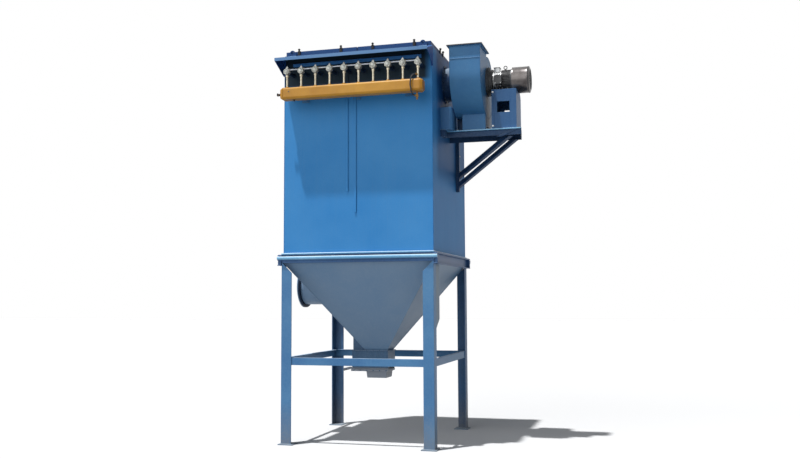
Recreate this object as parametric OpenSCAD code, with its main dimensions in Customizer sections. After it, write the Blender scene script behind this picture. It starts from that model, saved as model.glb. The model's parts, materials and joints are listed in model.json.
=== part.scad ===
// Pulse bag dust collector on four angle legs: square bag housing with an air tank and ten
// pulse valves under a rain hood, a pyramid hopper with a slide gate below, and a direct
// driven centrifugal fan on a side platform.
// Millimetres. +X to the fan side, -Y to the valve side, +Z up. The origin is on the ground
// at the centre of the four foot plates.

/* [Housing] */
// outside width of the bag housing
body_w = 2000; // [1900:10:2100]
// outside depth of the bag housing
body_d = 1960; // [1880:10:2040]
// height of the housing walls' bottom edge above the ground
body_z = 2448; // [2400:2:2500]
// height of the housing walls' top edge
body_top = 5050; // [5000:5:5200]
// sheet thickness of the housing
sheet_t = 5; // [4:1:8]
// reach of the two narrow ribs in front of the front wall
rib_out = 14; // [8:1:20]

/* [Roof] */
// thickness of the roof plate
roof_t = 8; // [5:1:12]
// height of the rims of the two roof lids
lid_h = 55; // [40:1:80]
// how far the lids stay back from the side walls
lid_in = 15; // [8:1:30]
// diameter of the lid knobs
knob_d = 34; // [24:1:44]

/* [Legs] */
// outside distance between the legs across the width
legs_w = 2024; // [2016:2:2040]
// outside distance between the legs across the depth
legs_d = 2050; // [2040:2:2060]
// side of the equal angle section
leg_a = 140; // [100:5:160]
// thickness of the angle section
leg_t = 12; // [8:1:14]
// lower end of the plate on the front right leg
plate_low = 1484; // [1450:2:1520]
// reach of that plate rearwards from the front of the leg
plate_reach = 362; // [300:2:380]
// side of the square foot plate
foot_w = 200; // [180:10:240]
// thickness of the foot plate
foot_t = 12; // [8:1:20]
// diameter of the anchor bolt holes
anchor_d = 22; // [14:1:28]
// height of the underside of the leg braces
brace_z = 1010; // [930:5:1200]
// height of the brace section
brace_h = 94; // [60:2:120]
// width of the brace's top flange
brace_b = 48; // [30:2:60]

/* [Ring beam] */
// height of the leg tops
ring_z = 2318; // [2310:2:2330]
// reach of the side beams beyond the housing
ring_out = 65; // [50:1:80]
// height of the side beams
ring_h = 132; // [120:2:160]
// thickness of webs, flanges and plates in the ring beam
ring_t = 10; // [6:1:12]

/* [Hopper] */
// height of the tip of the hopper pyramid
tip_z = 1160; // [1140:10:1300]
// outside width of the square tip
tip_w = 294; // [260:2:340]
// sheet thickness of the hopper
hop_t = 6; // [4:1:8]
// outside radius of the air inlet duct
inlet_r = 250; // [200:5:254]
// height of the inlet duct's axis
inlet_z = 2031; // [1980:1:2031]
// distance of the inlet flange from the middle
inlet_x = 1097; // [1080:1:1140]

/* [Slide gate and outlet] */
// left end of the gate housing
gate_x0 = -335; // [-360:5:-300]
// right end of the gate housing
gate_x1 = 170; // [160:2:190]
// depth of the gate housing
gate_d = 350; // [330:5:400]
// height of the gate housing's underside
gate_z = 930; // [900:5:960]
// height of the outlet spout's lower end
spout_z = 792; // [740:2:820]
// outside width of the spout at its lower end
spout_w = 266; // [240:2:280]

/* [Air tank and valves] */
// length of the air tank over both end caps
tank_l = 1890; // [1850:10:1950]
// side of the rounded square tank section
tank_s = 156; // [140:2:200]
// outside corner radius of the tank section
tank_r = 34; // [20:1:50]
// distance of the tank axis from the middle of the depth
tank_y = -1200; // [-1240:5:-1180]
// height of the tank axis
tank_z = 4490; // [4440:2:4520]
// number of pulse valves
valve_n = 10; // [6:1:10]
// spacing of the pulse valves
valve_pitch = 194; // [160:2:198]
// height of the valves' outlet axis
valve_z = 4785; // [4770:5:4800]

/* [Rain hood] */
// reach of the hood in front of the housing
hood_out = 310; // [290:5:340]
// height of the hood's front edge
hood_z = 4938; // [4920:2:4960]
// half length of the hood
hood_x = 1016; // [1010:1:1030]

/* [Fan] */
// distance of the fan axis from the middle of the depth
fan_y = -190; // [-200:5:-180]
// height of the fan axis
fan_z = 4715; // [4700:5:4730]
// inner side of the fan casing
fan_x = 1175; // [1165:1:1180]
// width of the fan casing
fan_w = 395; // [380:1:400]
// radius of the first quarter of the volute
vol_r = 375; // [360:5:385]
// growth of the volute radius in each quarter turn
vol_g = 74; // [60:2:80]
// height of the fan outlet flange's top
fan_top = 5090; // [5080:1:5120]
// diameter of the motor body
motor_d = 290; // [260:5:300]
// diameter of the motor's fan cover
cover_d = 346; // [310:2:360]

/* [Platform] */
// height of the platform beams' top
plat_z = 4040; // [4030:2:4050]
// height of the platform beams
plat_h = 80; // [60:5:100]
// outer end of the platform
plat_x = 2036; // [2000:2:2060]

/* [Hidden] */
bx = body_w / 2;
by = body_d / 2;
lx = legs_w / 2;
ly = legs_d / 2;
roof_z = body_top + roof_t;
lid_top = roof_z + lid_h;
// hopper flange and base flange stacked on the ring beam
beam_top = ring_z + 100;
flange_z = beam_top + ring_t;
hop_x = bx - 4;
// pyramid: half width at a height, across the width and across the depth
function hop_half_x(z) = tip_w / 2 + (hop_x - tip_w / 2) * (z - tip_z) / (ring_z - tip_z);
// front plane of things on the front wall
fy = -by;
tank_top = tank_z + tank_s / 2;
tank_front = tank_y - tank_s / 2;
cap_l = 40;
drain_x = 860;
stem_d = 26;
// route of the hose between the last valve's stem and the drain cock
hose_d = 18;
hose_route = [[861, -1218, 4630], [854, -1228, 4630], [839, -1251, 4626], [826, -1271, 4613],
    [815, -1287, 4594], [808, -1298, 4569], [805, -1303, 4542], [802, -1307, 4516],
    [801, -1308, 4490], [803, -1308, 4464], [808, -1307, 4439], [810, -1304, 4414],
    [815, -1294, 4392], [823, -1278, 4374], [833, -1258, 4363], [844, -1236, 4359],
    [850, -1223, 4359]];
valve_x = [for (i = [0 : valve_n - 1]) (i - (valve_n - 1) / 2) * valve_pitch];
lid_knobs = [-801, -219, 214, 768];
side_knobs = [-473, -314];
lug_x = 887;
vol_h = vol_g / 2;
fan_front = fan_y - vol_h - (vol_r + 2 * vol_g);
out_rear = -277;
fan_t = 5;
eye_r = 210;
deck_t = 8;
deck_z = plat_z + deck_t;
deck_y0 = -390;
deck_y1 = 30;
// the platform's outer end runs in towards the rear
end_in = 54;
ledge_x = bx + 60;
ped_x0 = 1650;
ped_x1 = 1975;
cover_x = 1909;
wall_x = bx + 50;
upright_z = 3337;
blue = "#3f75a6";
sheet_blue = "#4a82b6";
grey = "#a9aaa3";
ochre = "#c89b46";
black = "#26282b";
$fn = 48;

// block from its lowest to its highest corner
module box(x0, x1, y0, y1, z0, z1) {
    translate([x0, y0, z0]) cube([x1 - x0, y1 - y0, z1 - z0]);
}

// cylinders along X and along Y
module rod_x(r, x0, x1, y, z) {
    translate([x0, y, z]) rotate([0, 90, 0]) cylinder(r = r, h = x1 - x0);
}

module rod_y(r, x, y0, y1, z) {
    translate([x, y1, z]) rotate([90, 0, 0]) cylinder(r = r, h = y1 - y0);
}

// copies its children to the other side across the width or the depth
module both_x() {
    children();
    mirror([1, 0, 0]) children();
}

module both_y() {
    children();
    mirror([0, 1, 0]) children();
}

// outline in the Y-Z plane pushed along X
module along_x(x0, x1) {
    translate([x0, 0, 0]) rotate([90, 0, 90]) linear_extrude(x1 - x0) children();
}

// outline in the X-Z plane pushed along Y
module along_y(y0, y1) {
    translate([0, y1, 0]) rotate([90, 0, 0]) linear_extrude(y1 - y0) children();
}

// equal angle leg with its corner at the outside of the frame; the flange that faces the
// front or the rear is cut off at 45 degrees at the top
module leg() {
    root = lx - leg_t;
    toe = lx - leg_a - 1;
    color(blue) difference() {
        translate([lx, ly, foot_t]) rotate(180) linear_extrude(ring_z - foot_t)
            polygon([[0, 0], [leg_a, 0], [leg_a, leg_t], [leg_t, leg_t], [leg_t, leg_a],
                [0, leg_a]]);
        along_y(ly - leg_t - 1, ly + 1)
            polygon([[root, ring_z + 1], [root, ring_z], [toe, ring_z - root + toe],
                [toe, ring_z + 1]]);
    }
}

module leg_front_left() {
    mirror([1, 0, 0]) mirror([0, 1, 0]) leg();
}

module leg_front_right() {
    mirror([0, 1, 0]) leg();
}

module leg_rear_left() {
    mirror([1, 0, 0]) leg();
}

module leg_rear_right() {
    leg();
}

// plate down the inner face of the front right leg, its lower rear corner cut off
module leg_side_plate() {
    plate_t = 10;
    inner = lx - leg_t;
    front = 15 - ly;
    rear = plate_reach - ly;
    cut_y = rear - 169;
    cut_z = plate_low + 109;
    color(blue) along_x(inner - plate_t, inner) polygon([[front, plate_low], [cut_y, plate_low],
        [rear, cut_z], [rear, beam_top - ring_h], [front, beam_top - ring_h]]);
}

module foot_plates() {
    px = lx - leg_a / 2;
    py = ly - leg_a / 2;
    color(blue) both_x() both_y() difference() {
        box(px - foot_w / 2, px + foot_w / 2, py - foot_w / 2, py + foot_w / 2, 0, foot_t);
        translate([px, py, -1]) cylinder(d = anchor_d, h = foot_t + 2);
    }
}

// angle braces between the legs, with the flange on top and turned inwards
module brace_outline(back) {
    web_t = 8;
    top = brace_z + brace_h;
    polygon([[back, brace_z], [back, top], [back - brace_b, top], [back - brace_b, top - web_t],
        [back - web_t, top - web_t], [back - web_t, brace_z]]);
}

module leg_braces() {
    end_y = ly - leg_t - brace_b - 5;
    color(blue) {
        both_y() along_x(leg_t - lx, lx - leg_t) brace_outline(ly - leg_t);
        both_x() along_y(-end_y, end_y) brace_outline(lx - leg_t);
    }
}

// channels outside the legs at the sides, closed at the ends by plates and by the stepped
// built-up beams that lie on the legs front and rear
module ring_beam() {
    lip = ly + 20;
    lip_z = ring_z + 34;
    lip_top = lip_z + 50;
    low = beam_top - ring_h;
    out = bx + ring_out;
    color(blue) union() {
        both_x() along_y(-lip, lip) polygon([[lx, low], [out, low], [out, low + ring_t],
            [lx + ring_t, low + ring_t], [lx + ring_t, beam_top - ring_t],
            [out, beam_top - ring_t], [out, beam_top], [lx, beam_top]]);
        both_y() along_x(-out, out) polygon([[by, ring_z], [ly, ring_z], [ly, lip_z], [lip, lip_z],
            [lip, lip_top], [by + ring_t, lip_top], [by + ring_t, beam_top], [by, beam_top]]);
        both_x() both_y() box(lx, out, ly - ring_t, ly, low, ring_z + 1);
    }
}

// flat flange under the housing walls
module base_flange() {
    in = 40;
    color(blue) difference() {
        box(-bx - 8, bx + 8, -by - 40, by + 40, flange_z, body_z);
        box(in - bx, bx - in, in - by, by - in, flange_z - 1, body_z + 1);
    }
}

module housing_shell() {
    color(sheet_blue) difference() {
        box(-bx, bx, -by, by, body_z, body_top);
        box(sheet_t - bx, bx - sheet_t, sheet_t - by, by - sheet_t, body_z - 1, body_top + 1);
        rod_x(eye_r, bx - sheet_t - 1, bx + 1, fan_y, fan_z);
    }
}

// two narrow channels up the front wall, the right one longer
module front_ribs() {
    rib_w = 25;
    left_edge = [-140, -30];
    low_end = [3226, 2950];
    color(sheet_blue) for (i = [0, 1])
        box(left_edge[i], left_edge[i] + rib_w, fy - rib_out, fy, low_end[i], hood_z - 60);
}

module roof_plate() {
    color(sheet_blue) box(-bx, bx, -by, by, body_top, roof_z);
}

// shallow pan lid, open below
module lid(x0, x1) {
    y = by - lid_in;
    t = sheet_t;
    color(sheet_blue) difference() {
        box(x0, x1, -y, y, roof_z, lid_top);
        box(x0 + t, x1 - t, t - y, y - t, roof_z - 1, lid_top - t);
    }
}

module roof_lid_left() {
    lid(lid_in - bx, -5);
}

module roof_lid_right() {
    lid(5, bx - lid_in);
}

// clamp block, stud and round knob standing beside a lid rim
module clamp() {
    block_w = 36;
    stud_y = 6;
    color(black) union() {
        box(-block_w / 2, block_w / 2, 0, lid_in - 3, roof_z, lid_top + 6);
        translate([0, stud_y, lid_top]) cylinder(d = 11, h = 20);
        translate([0, stud_y, lid_top + 14]) cylinder(d = knob_d, h = 16);
        translate([0, stud_y, lid_top + 28]) cylinder(d = knob_d * 0.6, h = 7);
    }
}

module lid_clamps() {
    for (x = lid_knobs) {
        translate([x, -by, 0]) clamp();
        translate([x, by, 0]) rotate(180) clamp();
    }
    for (y = side_knobs) {
        translate([bx, y, 0]) rotate(90) clamp();
        translate([-bx, y, 0]) rotate(-90) clamp();
    }
}

// drilled lifting plates on the front and rear walls near the corners
module lifting_lugs() {
    lug_t = 18;
    lug_w = 110;
    eye_z = roof_z + 30;
    color(blue) both_x() both_y() difference() {
        union() {
            box(lug_x - lug_w / 2, lug_x + lug_w / 2, by, by + lug_t, body_top - 4, eye_z - 4);
            rod_y(36, lug_x, by, by + lug_t, eye_z);
        }
        rod_y(18, lug_x, by - 1, by + lug_t + 1, eye_z + 2);
    }
}

// sloping sheet with a turned-down front edge and tapering side plates
module rain_hood() {
    t = 4;
    fold = 16;
    back_z = body_top - 4;
    edge = fy - hood_out;
    color(sheet_blue) union() {
        along_x(-hood_x, hood_x) polygon([[fy, back_z], [edge, hood_z], [edge, hood_z - fold],
            [edge + t, hood_z - fold], [edge + t, hood_z - t - 1], [fy, back_z - t - 1]]);
        both_x() {
            along_x(hood_x - t, hood_x) polygon([[fy, back_z - 2], [edge, hood_z - 2],
                [edge, hood_z - fold], [fy, valve_z]]);
            box(bx - 15, hood_x, fy - t, fy, valve_z, back_z - 2);
        }
    }
}

// square rail on the front wall under the hood
module hood_rail() {
    rail_d = 34;
    rail_h = 40;
    color(blue) both_x() box(60, bx - 130, fy - rail_d, fy, hood_z - 1 - rail_h, hood_z - 1);
}

// rounded square outline, inset by a wall thickness
module tank_outline(inset) {
    h = tank_s / 2 - tank_r;
    r = tank_r - inset;
    union() {
        translate([-h - r, -h]) square([2 * (h + r), 2 * h]);
        translate([-h, -h - r]) square([2 * h, 2 * (h + r)]);
        for (sy = [-1, 1], sz = [-1, 1]) translate([sy * h, sz * h]) circle(r = r);
    }
}

module air_tank() {
    wall_t = 6;
    color(ochre) translate([0, tank_y, tank_z]) along_x(cap_l - tank_l / 2, tank_l / 2 - cap_l)
        difference() {
            tank_outline(0);
            tank_outline(wall_t);
        }
}

// solid end caps, tapered at the outside
module tank_ends() {
    end = tank_l / 2;
    color(ochre) translate([0, tank_y, tank_z]) both_x() hull() {
        along_x(end - cap_l, end - cap_l + 12) tank_outline(0);
        along_x(end - 12, end) scale(0.8) tank_outline(0);
    }
}

// plates that carry the tank on the front wall
module tank_brackets() {
    plate_t = 8;
    color(blue) for (x = [-700, 0, 700]) union() {
        box(x - 5, x + 5, tank_y + tank_s / 2, fy - plate_t, tank_z - 42, tank_z + 42);
        box(x - 50, x + 50, fy - plate_t, fy, tank_z - 78, tank_z + 78);
    }
}

// short round socket that the hose ends against, along the run from one point to the next
module hose_socket(from, to, length) {
    run = to - from;
    translate(from) rotate([0, 90, atan2(run[1], run[0])]) cylinder(d = hose_d + 4, h = length);
}

// shut-off cock on the left end, drain cock under the right end with the hose's lower socket,
// and the hose's upper socket on the last valve's stem
module tank_cocks() {
    end = -tank_l / 2;
    cock_z = tank_z;
    last = len(hose_route) - 1;
    color("#8a6a3c") {
        union() {
            rod_x(9, end - 62, end, tank_y, cock_z);
            rod_x(15, end - 44, end - 16, tank_y, cock_z);
            box(end - 66, end - 52, tank_y - 14, tank_y + 14, cock_z - 14, cock_z + 16);
        }
        union() {
            translate([drain_x, tank_y, tank_z - tank_s / 2]) mirror([0, 0, 1]) {
                cylinder(d = 20, h = 98);
                translate([0, 0, 36]) cylinder(d = 36, h = 34);
                translate([0, 0, 82]) cylinder(d = 26, h = 16);
            }
            hose_socket(hose_route[last], 2 * hose_route[last] - hose_route[last - 1], 14);
        }
        difference() {
            hose_socket(hose_route[0], 2 * hose_route[0] - hose_route[1], 14);
            translate([valve_x[valve_n - 1], tank_y, tank_top]) cylinder(d = stem_d, h = 100);
        }
    }
}

// closed tube with flat sides along a list of points, none of whose runs is along Y
module tube(points, r, sides) {
    last = len(points) - 1;
    turn = 360 / sides;
    ahead = [for (i = [0 : last]) points[min(i + 1, last)] - points[max(i - 1, 0)]];
    u = [for (t = ahead) cross(t, [0, 1, 0]) / norm(cross(t, [0, 1, 0]))];
    v = [for (i = [0 : last]) cross(ahead[i], u[i]) / norm(ahead[i])];
    rings = [for (i = [0 : last], k = [0 : sides - 1])
        points[i] + r * (cos(k * turn) * u[i] + sin(k * turn) * v[i])];
    walls = [for (i = [0 : last - 1], k = [0 : sides - 1]) let (next = (k + 1) % sides)
        [i * sides + k, i * sides + next, (i + 1) * sides + next, (i + 1) * sides + k]];
    start_cap = [for (k = [sides - 1 : -1 : 0]) k];
    end_cap = [for (k = [0 : sides - 1]) last * sides + k];
    polyhedron(rings, concat(walls, [start_cap, end_cap]));
}

// black hose from the last valve down in front of the tank to the drain cock
module tank_hose() {
    color(black) tube(hose_route, hose_d / 2, 10);
}

module valve_stems() {
    color("#c2b59b") for (x = valve_x) translate([x, tank_y, tank_top])
        cylinder(d = stem_d, h = valve_z - 43 - tank_top);
}

// right-angle diaphragm valve: inlet nozzle below, round cover in front, outlet at the back
module valve() {
    color(grey) union() {
        translate([0, 0, -43]) cylinder(r = 21, h = 30);
        translate([0, 0, -22]) cylinder(r1 = 46, r2 = 26, h = 38);
        rod_y(30, 0, -34, 38, 0);
        rod_y(40, 0, -46, -30, 0);
        rod_y(24, 0, -52, -40, 0);
        box(-25, 25, -22, 22, 10, 42);
    }
}

module pulse_valves() {
    for (x = valve_x) translate([x, tank_y, valve_z]) valve();
}

// small solenoid on top of each valve
module pilot_coils() {
    color("#75776f") for (x = valve_x) translate([x, tank_y, valve_z + 42]) union() {
        cylinder(d = 30, h = 18);
        translate([0, 0, 12]) cylinder(d = 20, h = 22);
    }
}

module valve_outlets() {
    color(blue) for (x = valve_x) rod_y(25, x, tank_y + 38, fy, valve_z);
}

// thin air line from valve to valve
module air_line() {
    color("#c9ccd0") for (i = [0 : valve_n - 2])
        rod_x(8, valve_x[i] + 25, valve_x[i + 1] - 25, tank_y, valve_z + 26);
}

// pyramid between the leg tops and the tip, smaller all round by an inset
module pyramid(inset) {
    hull() {
        box(inset - hop_x, hop_x - inset, inset - by, by - inset, ring_z, ring_z + 1);
        box(inset - tip_w / 2, tip_w / 2 - inset, inset - tip_w / 2, tip_w / 2 - inset,
            tip_z, tip_z + 1);
    }
}

// pyramid with an upright rim and a flange on the ring beam
module hopper_shell() {
    color(blue) difference() {
        union() {
            pyramid(0);
            box(-hop_x, hop_x, -by, by, ring_z, flange_z);
            box(-bx - 60, bx + 60, -by - 25, by + 25, beam_top, flange_z);
        }
        pyramid(hop_t);
        box(hop_t - hop_x, hop_x - hop_t, hop_t - by, by - hop_t, ring_z, flange_z + 1);
        box(hop_t - tip_w / 2, tip_w / 2 - hop_t, hop_t - tip_w / 2, tip_w / 2 - hop_t,
            tip_z - 1, tip_z + 2);
        rod_x(inlet_r - hop_t, -inlet_x, -tip_w / 2, 0, inlet_z);
    }
}

// round air inlet with a flange, cut to the slope of the hopper
module inlet_duct() {
    color(blue) difference() {
        union() {
            rod_x(inlet_r, -inlet_x, -hop_half_x(inlet_z - inlet_r), 0, inlet_z);
            rod_x(inlet_r + 40, -inlet_x, 12 - inlet_x, 0, inlet_z);
        }
        rod_x(inlet_r - hop_t, -inlet_x - 1, 0, 0, inlet_z);
        for (a = [15 : 30 : 345])
            rod_x(7, -inlet_x - 1, 13 - inlet_x, 272 * cos(a), inlet_z + 272 * sin(a));
        pyramid(0);
    }
}

// box of the slide gate under the tip, longer to the left where the blade draws out
module gate_housing() {
    t = 8;
    h = gate_d / 2;
    bore = tip_w / 2 - hop_t;
    color(blue) difference() {
        union() {
            box(gate_x0, gate_x1, -h, h, gate_z, tip_z);
            box(gate_x0 - t, gate_x1 + t, -h - t, h + t, tip_z - 10, tip_z);
        }
        box(gate_x0 + t, gate_x1 - t, t - h, h - t, gate_z + t, tip_z - t);
        box(-bore, bore, -bore, bore, gate_z - 1, tip_z + 1);
    }
}

// gussets from the hopper slope to the overhanging end of the gate
module gate_brackets() {
    plate_y = 120;
    plate_t = 10;
    tip_x = -tip_w / 2;
    top = tip_z + (tip_x - gate_x0) * (ring_z - tip_z) / (hop_x + tip_x);
    color(blue) both_y() along_y(plate_y, plate_y + plate_t)
        polygon([[gate_x0, tip_z], [gate_x0, top], [tip_x, tip_z]]);
}

// guide frame under the gate housing with the closed blade and its turned-down handle edge
module slide_gate() {
    h = gate_d / 2 - 8;
    bore = tip_w / 2 - hop_t;
    low = gate_z - 50;
    blade_z = gate_z - 26;
    blade_top = blade_z + 10;
    blade_y = h - 34;
    grip_x = gate_x0 - 135;
    color(blue) union() {
        difference() {
            box(gate_x0 - 20, gate_x1, -h, h, low, blade_z);
            box(-bore, bore, -bore, bore, low - 1, blade_z + 1);
        }
        both_y() box(gate_x0 - 20, gate_x1, h - 30, h - 16, blade_z, gate_z);
        box(grip_x, gate_x1 - 10, -blade_y, blade_y, blade_z, blade_top);
        box(grip_x - 8, grip_x, -blade_y, blade_y, blade_z - 26, blade_top);
    }
}

// square spout, slightly narrower at its lower end
module dust_outlet() {
    t = 5;
    top = gate_z - 50;
    w0 = spout_w / 2 + 10;
    w1 = spout_w / 2;
    color(blue) difference() {
        hull() {
            box(-w0, w0, -w0, w0, top - 1, top);
            box(-w1, w1, -w1, w1, spout_z, spout_z + 1);
        }
        hull() {
            box(t - w0, w0 - t, t - w0, w0 - t, top - 1, top + 1);
            box(t - w1, w1 - t, t - w1, w1 - t, spout_z - 1, spout_z + 1);
        }
    }
}

// round duct from the housing wall to the eye of the fan
module fan_inlet_duct() {
    ring_r = eye_r + 40;
    color(sheet_blue) difference() {
        union() {
            rod_x(eye_r + 10, bx, fan_x, fan_y, fan_z);
            rod_x(ring_r, bx, bx + 10, fan_y, fan_z);
            rod_x(ring_r, fan_x - 10, fan_x, fan_y, fan_z);
        }
        rod_x(eye_r, bx - 1, fan_x + 1, fan_y, fan_z);
    }
}

// volute outline about the fan axis from three quarter arcs and the upright outlet,
// smaller all round by an inset; the outlet is carried on upwards by a height
module volute(inset, up) {
    r1 = vol_r - inset;
    r2 = vol_r + vol_g - inset;
    r3 = vol_r + 2 * vol_g - inset;
    front = fan_front - fan_y + inset;
    rear = out_rear - fan_y - inset;
    big = 2 * vol_r + 4 * vol_g;
    union() {
        intersection() {
            translate([vol_h, -vol_h]) circle(r = r1, $fn = 96);
            translate([rear, -vol_h]) square(big);
        }
        intersection() {
            translate([-vol_h, -vol_h]) circle(r = r2, $fn = 96);
            translate([-vol_h, -vol_h - big]) square(big);
        }
        intersection() {
            translate([-vol_h, vol_h]) circle(r = r3, $fn = 96);
            translate([-vol_h - big, vol_h - big]) square(big);
        }
        translate([front, vol_h]) square([rear - front, fan_top - fan_z - vol_h + up]);
        translate([-vol_h, -vol_h]) square([vol_h, 3 * vol_h]);
    }
}

// welded volute casing, open at the top, with the air inlet in its inner side
module fan_casing() {
    lip = 30;
    color(sheet_blue) difference() {
        union() {
            translate([0, fan_y, fan_z]) along_x(fan_x, fan_x + fan_w) volute(0, 0);
            box(fan_x - lip, fan_x + fan_w + lip, fan_front - lip, out_rear + lip,
                fan_top - 8, fan_top);
        }
        translate([0, fan_y, fan_z]) along_x(fan_x + fan_t, fan_x + fan_w - fan_t) volute(fan_t, 20);
        rod_x(eye_r, fan_x - 1, fan_x + fan_t + 1, fan_y, fan_z);
    }
}

// box under the casing, and the outer side plate that reaches up to the motor plate
module fan_base() {
    t = 10;
    x0 = fan_x + 89;
    x1 = fan_x + fan_w;
    rear_y = -50;
    box_top = deck_z + 290;
    plate_top = fan_z - 180;
    color(blue) difference() {
        union() {
            box(x0, x1, deck_y0, rear_y, deck_z, box_top);
            along_x(x1 - t, x1) polygon([[rear_y - t, deck_z], [deck_y1, deck_z],
                [deck_y1 + 80, deck_z + 150], [deck_y1 + 80, plate_top], [rear_y - t, plate_top]]);
        }
        box(x0 + t, x1 - t, deck_y0 + t, rear_y - t, deck_z - 1, box_top + 1);
        translate([0, fan_y, fan_z]) along_x(fan_x, x1 + 1) volute(0, 0);
    }
}

// box stand on the deck between the housing wall and the casing
module wall_stand() {
    out_x = fan_x - 20;
    front_y = -532;
    depth = 292;
    height = 296;
    r = 40;
    color(blue) translate([0, 0, deck_z]) linear_extrude(height) union() {
        translate([bx, front_y]) square([out_x - r - bx, depth]);
        translate([bx, front_y + r]) square([out_x - bx, depth - r]);
        translate([out_x - r, front_y + r]) circle(r = r);
    }
}

// round mounting plate and bearing cover of the motor
module motor_plate() {
    x = fan_x + fan_w;
    step_x = x + 34;
    color(black) union() {
        rod_x(193, x, step_x, fan_y, fan_z);
        rod_x(160, step_x, x + 80, fan_y, fan_z);
    }
}

// motor body on two feet, with the terminal box on its front side
module motor_body() {
    r = motor_d / 2;
    x0 = fan_x + fan_w + 80;
    foot_y = 110;
    box_z = fan_z - 75;
    color("#4a4c4e") union() {
        rod_x(r, x0, cover_x, fan_y, fan_z);
        box(ped_x0 + 40, ped_x0 + 135, fan_y - r - 58, fan_y - 60, box_z, box_z + 120);
        box(ped_x0 + 30, cover_x - 29, fan_y - foot_y, fan_y + foot_y, fan_z - r, fan_z - 90);
    }
}

module motor_cover() {
    face_x = cover_x + 215;
    color("#8b8a86") union() {
        rod_x(cover_d / 2, cover_x, face_x, fan_y, fan_z);
        rod_x(cover_d / 2 - 14, face_x, face_x + 15, fan_y, fan_z);
    }
}

// side shape of the pedestal, its rear top corner rounded
module pedestal_side(inset) {
    front_y = deck_y0 + 15 + inset;
    top = fan_z - motor_d / 2 - inset;
    low = deck_z - inset;
    rear_y = deck_y1 - inset;
    round_y = 110;
    round_z = 90;
    intersection() {
        translate([front_y, low]) square([rear_y - front_y, top - low]);
        union() {
            translate([front_y, low]) square([rear_y - front_y, top - round_z - low]);
            translate([front_y, low]) square([rear_y - round_y - front_y, top - low]);
            translate([rear_y - round_y, top - round_z]) scale([round_y, round_z]) circle(r = 1);
        }
    }
}

// folded plate pedestal: uprights on its front corners, a window in its front
// and a lower opening in its rear plate
module motor_pedestal() {
    t = 10;
    front_y = deck_y0 + 15;
    top = fan_z - motor_d / 2;
    window_x = ped_x0 + 72;
    window_z = deck_z + 218;
    color(blue) difference() {
        union() {
            along_x(ped_x0, ped_x1) pedestal_side(0);
            box(ped_x0, ped_x0 + 32, front_y - 6, front_y, deck_z, top);
            box(ped_x1 - 84, ped_x1, front_y - 6, front_y, deck_z, top);
        }
        along_x(ped_x0 + t, ped_x1 - t) pedestal_side(t);
        box(window_x, window_x + 162, front_y - 7, front_y + t + 1, window_z, window_z + 142);
        box(ped_x0 + 108, ped_x1 - t, deck_y1 - t - 1, deck_y1 + 1, deck_z + 60, window_z + 100);
    }
}

// plan of the deck with its slanted outer end, moved in by an edge
module deck_outline(edge) {
    end_y = deck_y1 - deck_y0;
    out = edge * norm([end_in, end_y]) / end_y;
    polygon([[bx, deck_y0 + edge], [plat_x - out - end_in * edge / end_y, deck_y0 + edge],
        [plat_x - out - end_in * (end_y - edge) / end_y, deck_y1 - edge], [bx, deck_y1 - edge]]);
}

// two channels with cross pieces and a deck plate, on a ledger along the wall
module platform_frame() {
    web_t = 8;
    z0 = plat_z - plat_h;
    color(blue) union() {
        translate([0, 0, plat_z]) linear_extrude(deck_t) deck_outline(0);
        translate([0, 0, z0]) linear_extrude(plat_h) difference() {
            deck_outline(0);
            translate([-1, 0]) deck_outline(web_t);
            translate([bx - 1, deck_y0 + web_t]) square([20, deck_y1 - deck_y0 - 2 * web_t]);
        }
        box(bx, ledge_x, deck_y0 - 150, deck_y0, z0, deck_z);
    }
}

// bar of square section between two points
module bar(p, q, w) {
    d = q - p;
    yaw = atan2(d[1], d[0]);
    pitch = atan2(d[2], norm([d[0], d[1]]));
    translate(p) rotate([0, -pitch, yaw]) translate([0, -w / 2, -w / 2]) cube([norm(d), w, w]);
}

// two raking struts from the upright to the beams, and a slanted plate on the front beam
module platform_struts() {
    w = 60;
    z0 = plat_z - plat_h;
    front_foot = [wall_x - 100, 508, 3510];
    rear_foot = [wall_x - 100, 470, 3370];
    front_head = [plat_x - 90, deck_y0 + 40, plat_z - 20];
    rear_head = [plat_x - 62, deck_y1 - 70, plat_z - 20];
    color(blue) along_y(deck_y0 - 8, deck_y0) polygon([[plat_x - 330, z0 - 20],
        [plat_x - 250, z0 - 20], [plat_x - 30, plat_z - 4], [plat_x - 100, plat_z - 4]]);
    color(blue) difference() {
        union() {
            bar(front_foot, front_head, w);
            bar(rear_foot, rear_head, w);
        }
        box(wall_x - 150, wall_x, 0, 600, 3300, z0 + 40);
        box(bx - 100, plat_x + 200, -600, 600, z0, z0 + 340);
    }
}

// upright on the side wall that takes the struts
module wall_angle() {
    color(blue) box(bx, wall_x, 400, 450, upright_z, upright_z + 780);
}

leg_front_left();
leg_front_right();
leg_rear_left();
leg_rear_right();
foot_plates();
leg_side_plate();
leg_braces();
ring_beam();
base_flange();
housing_shell();
front_ribs();
roof_plate();
roof_lid_left();
roof_lid_right();
lid_clamps();
lifting_lugs();
rain_hood();
hood_rail();
air_tank();
tank_ends();
tank_brackets();
tank_cocks();
tank_hose();
valve_stems();
pulse_valves();
pilot_coils();
valve_outlets();
air_line();
hopper_shell();
inlet_duct();
gate_housing();
gate_brackets();
slide_gate();
dust_outlet();
fan_inlet_duct();
fan_casing();
fan_base();
wall_stand();
motor_plate();
motor_body();
motor_cover();
motor_pedestal();
platform_frame();
platform_struts();
wall_angle();
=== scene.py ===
import json
import math
from functools import partial

import bmesh
import bpy
import numpy as np
from mathutils import Matrix, Vector


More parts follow.
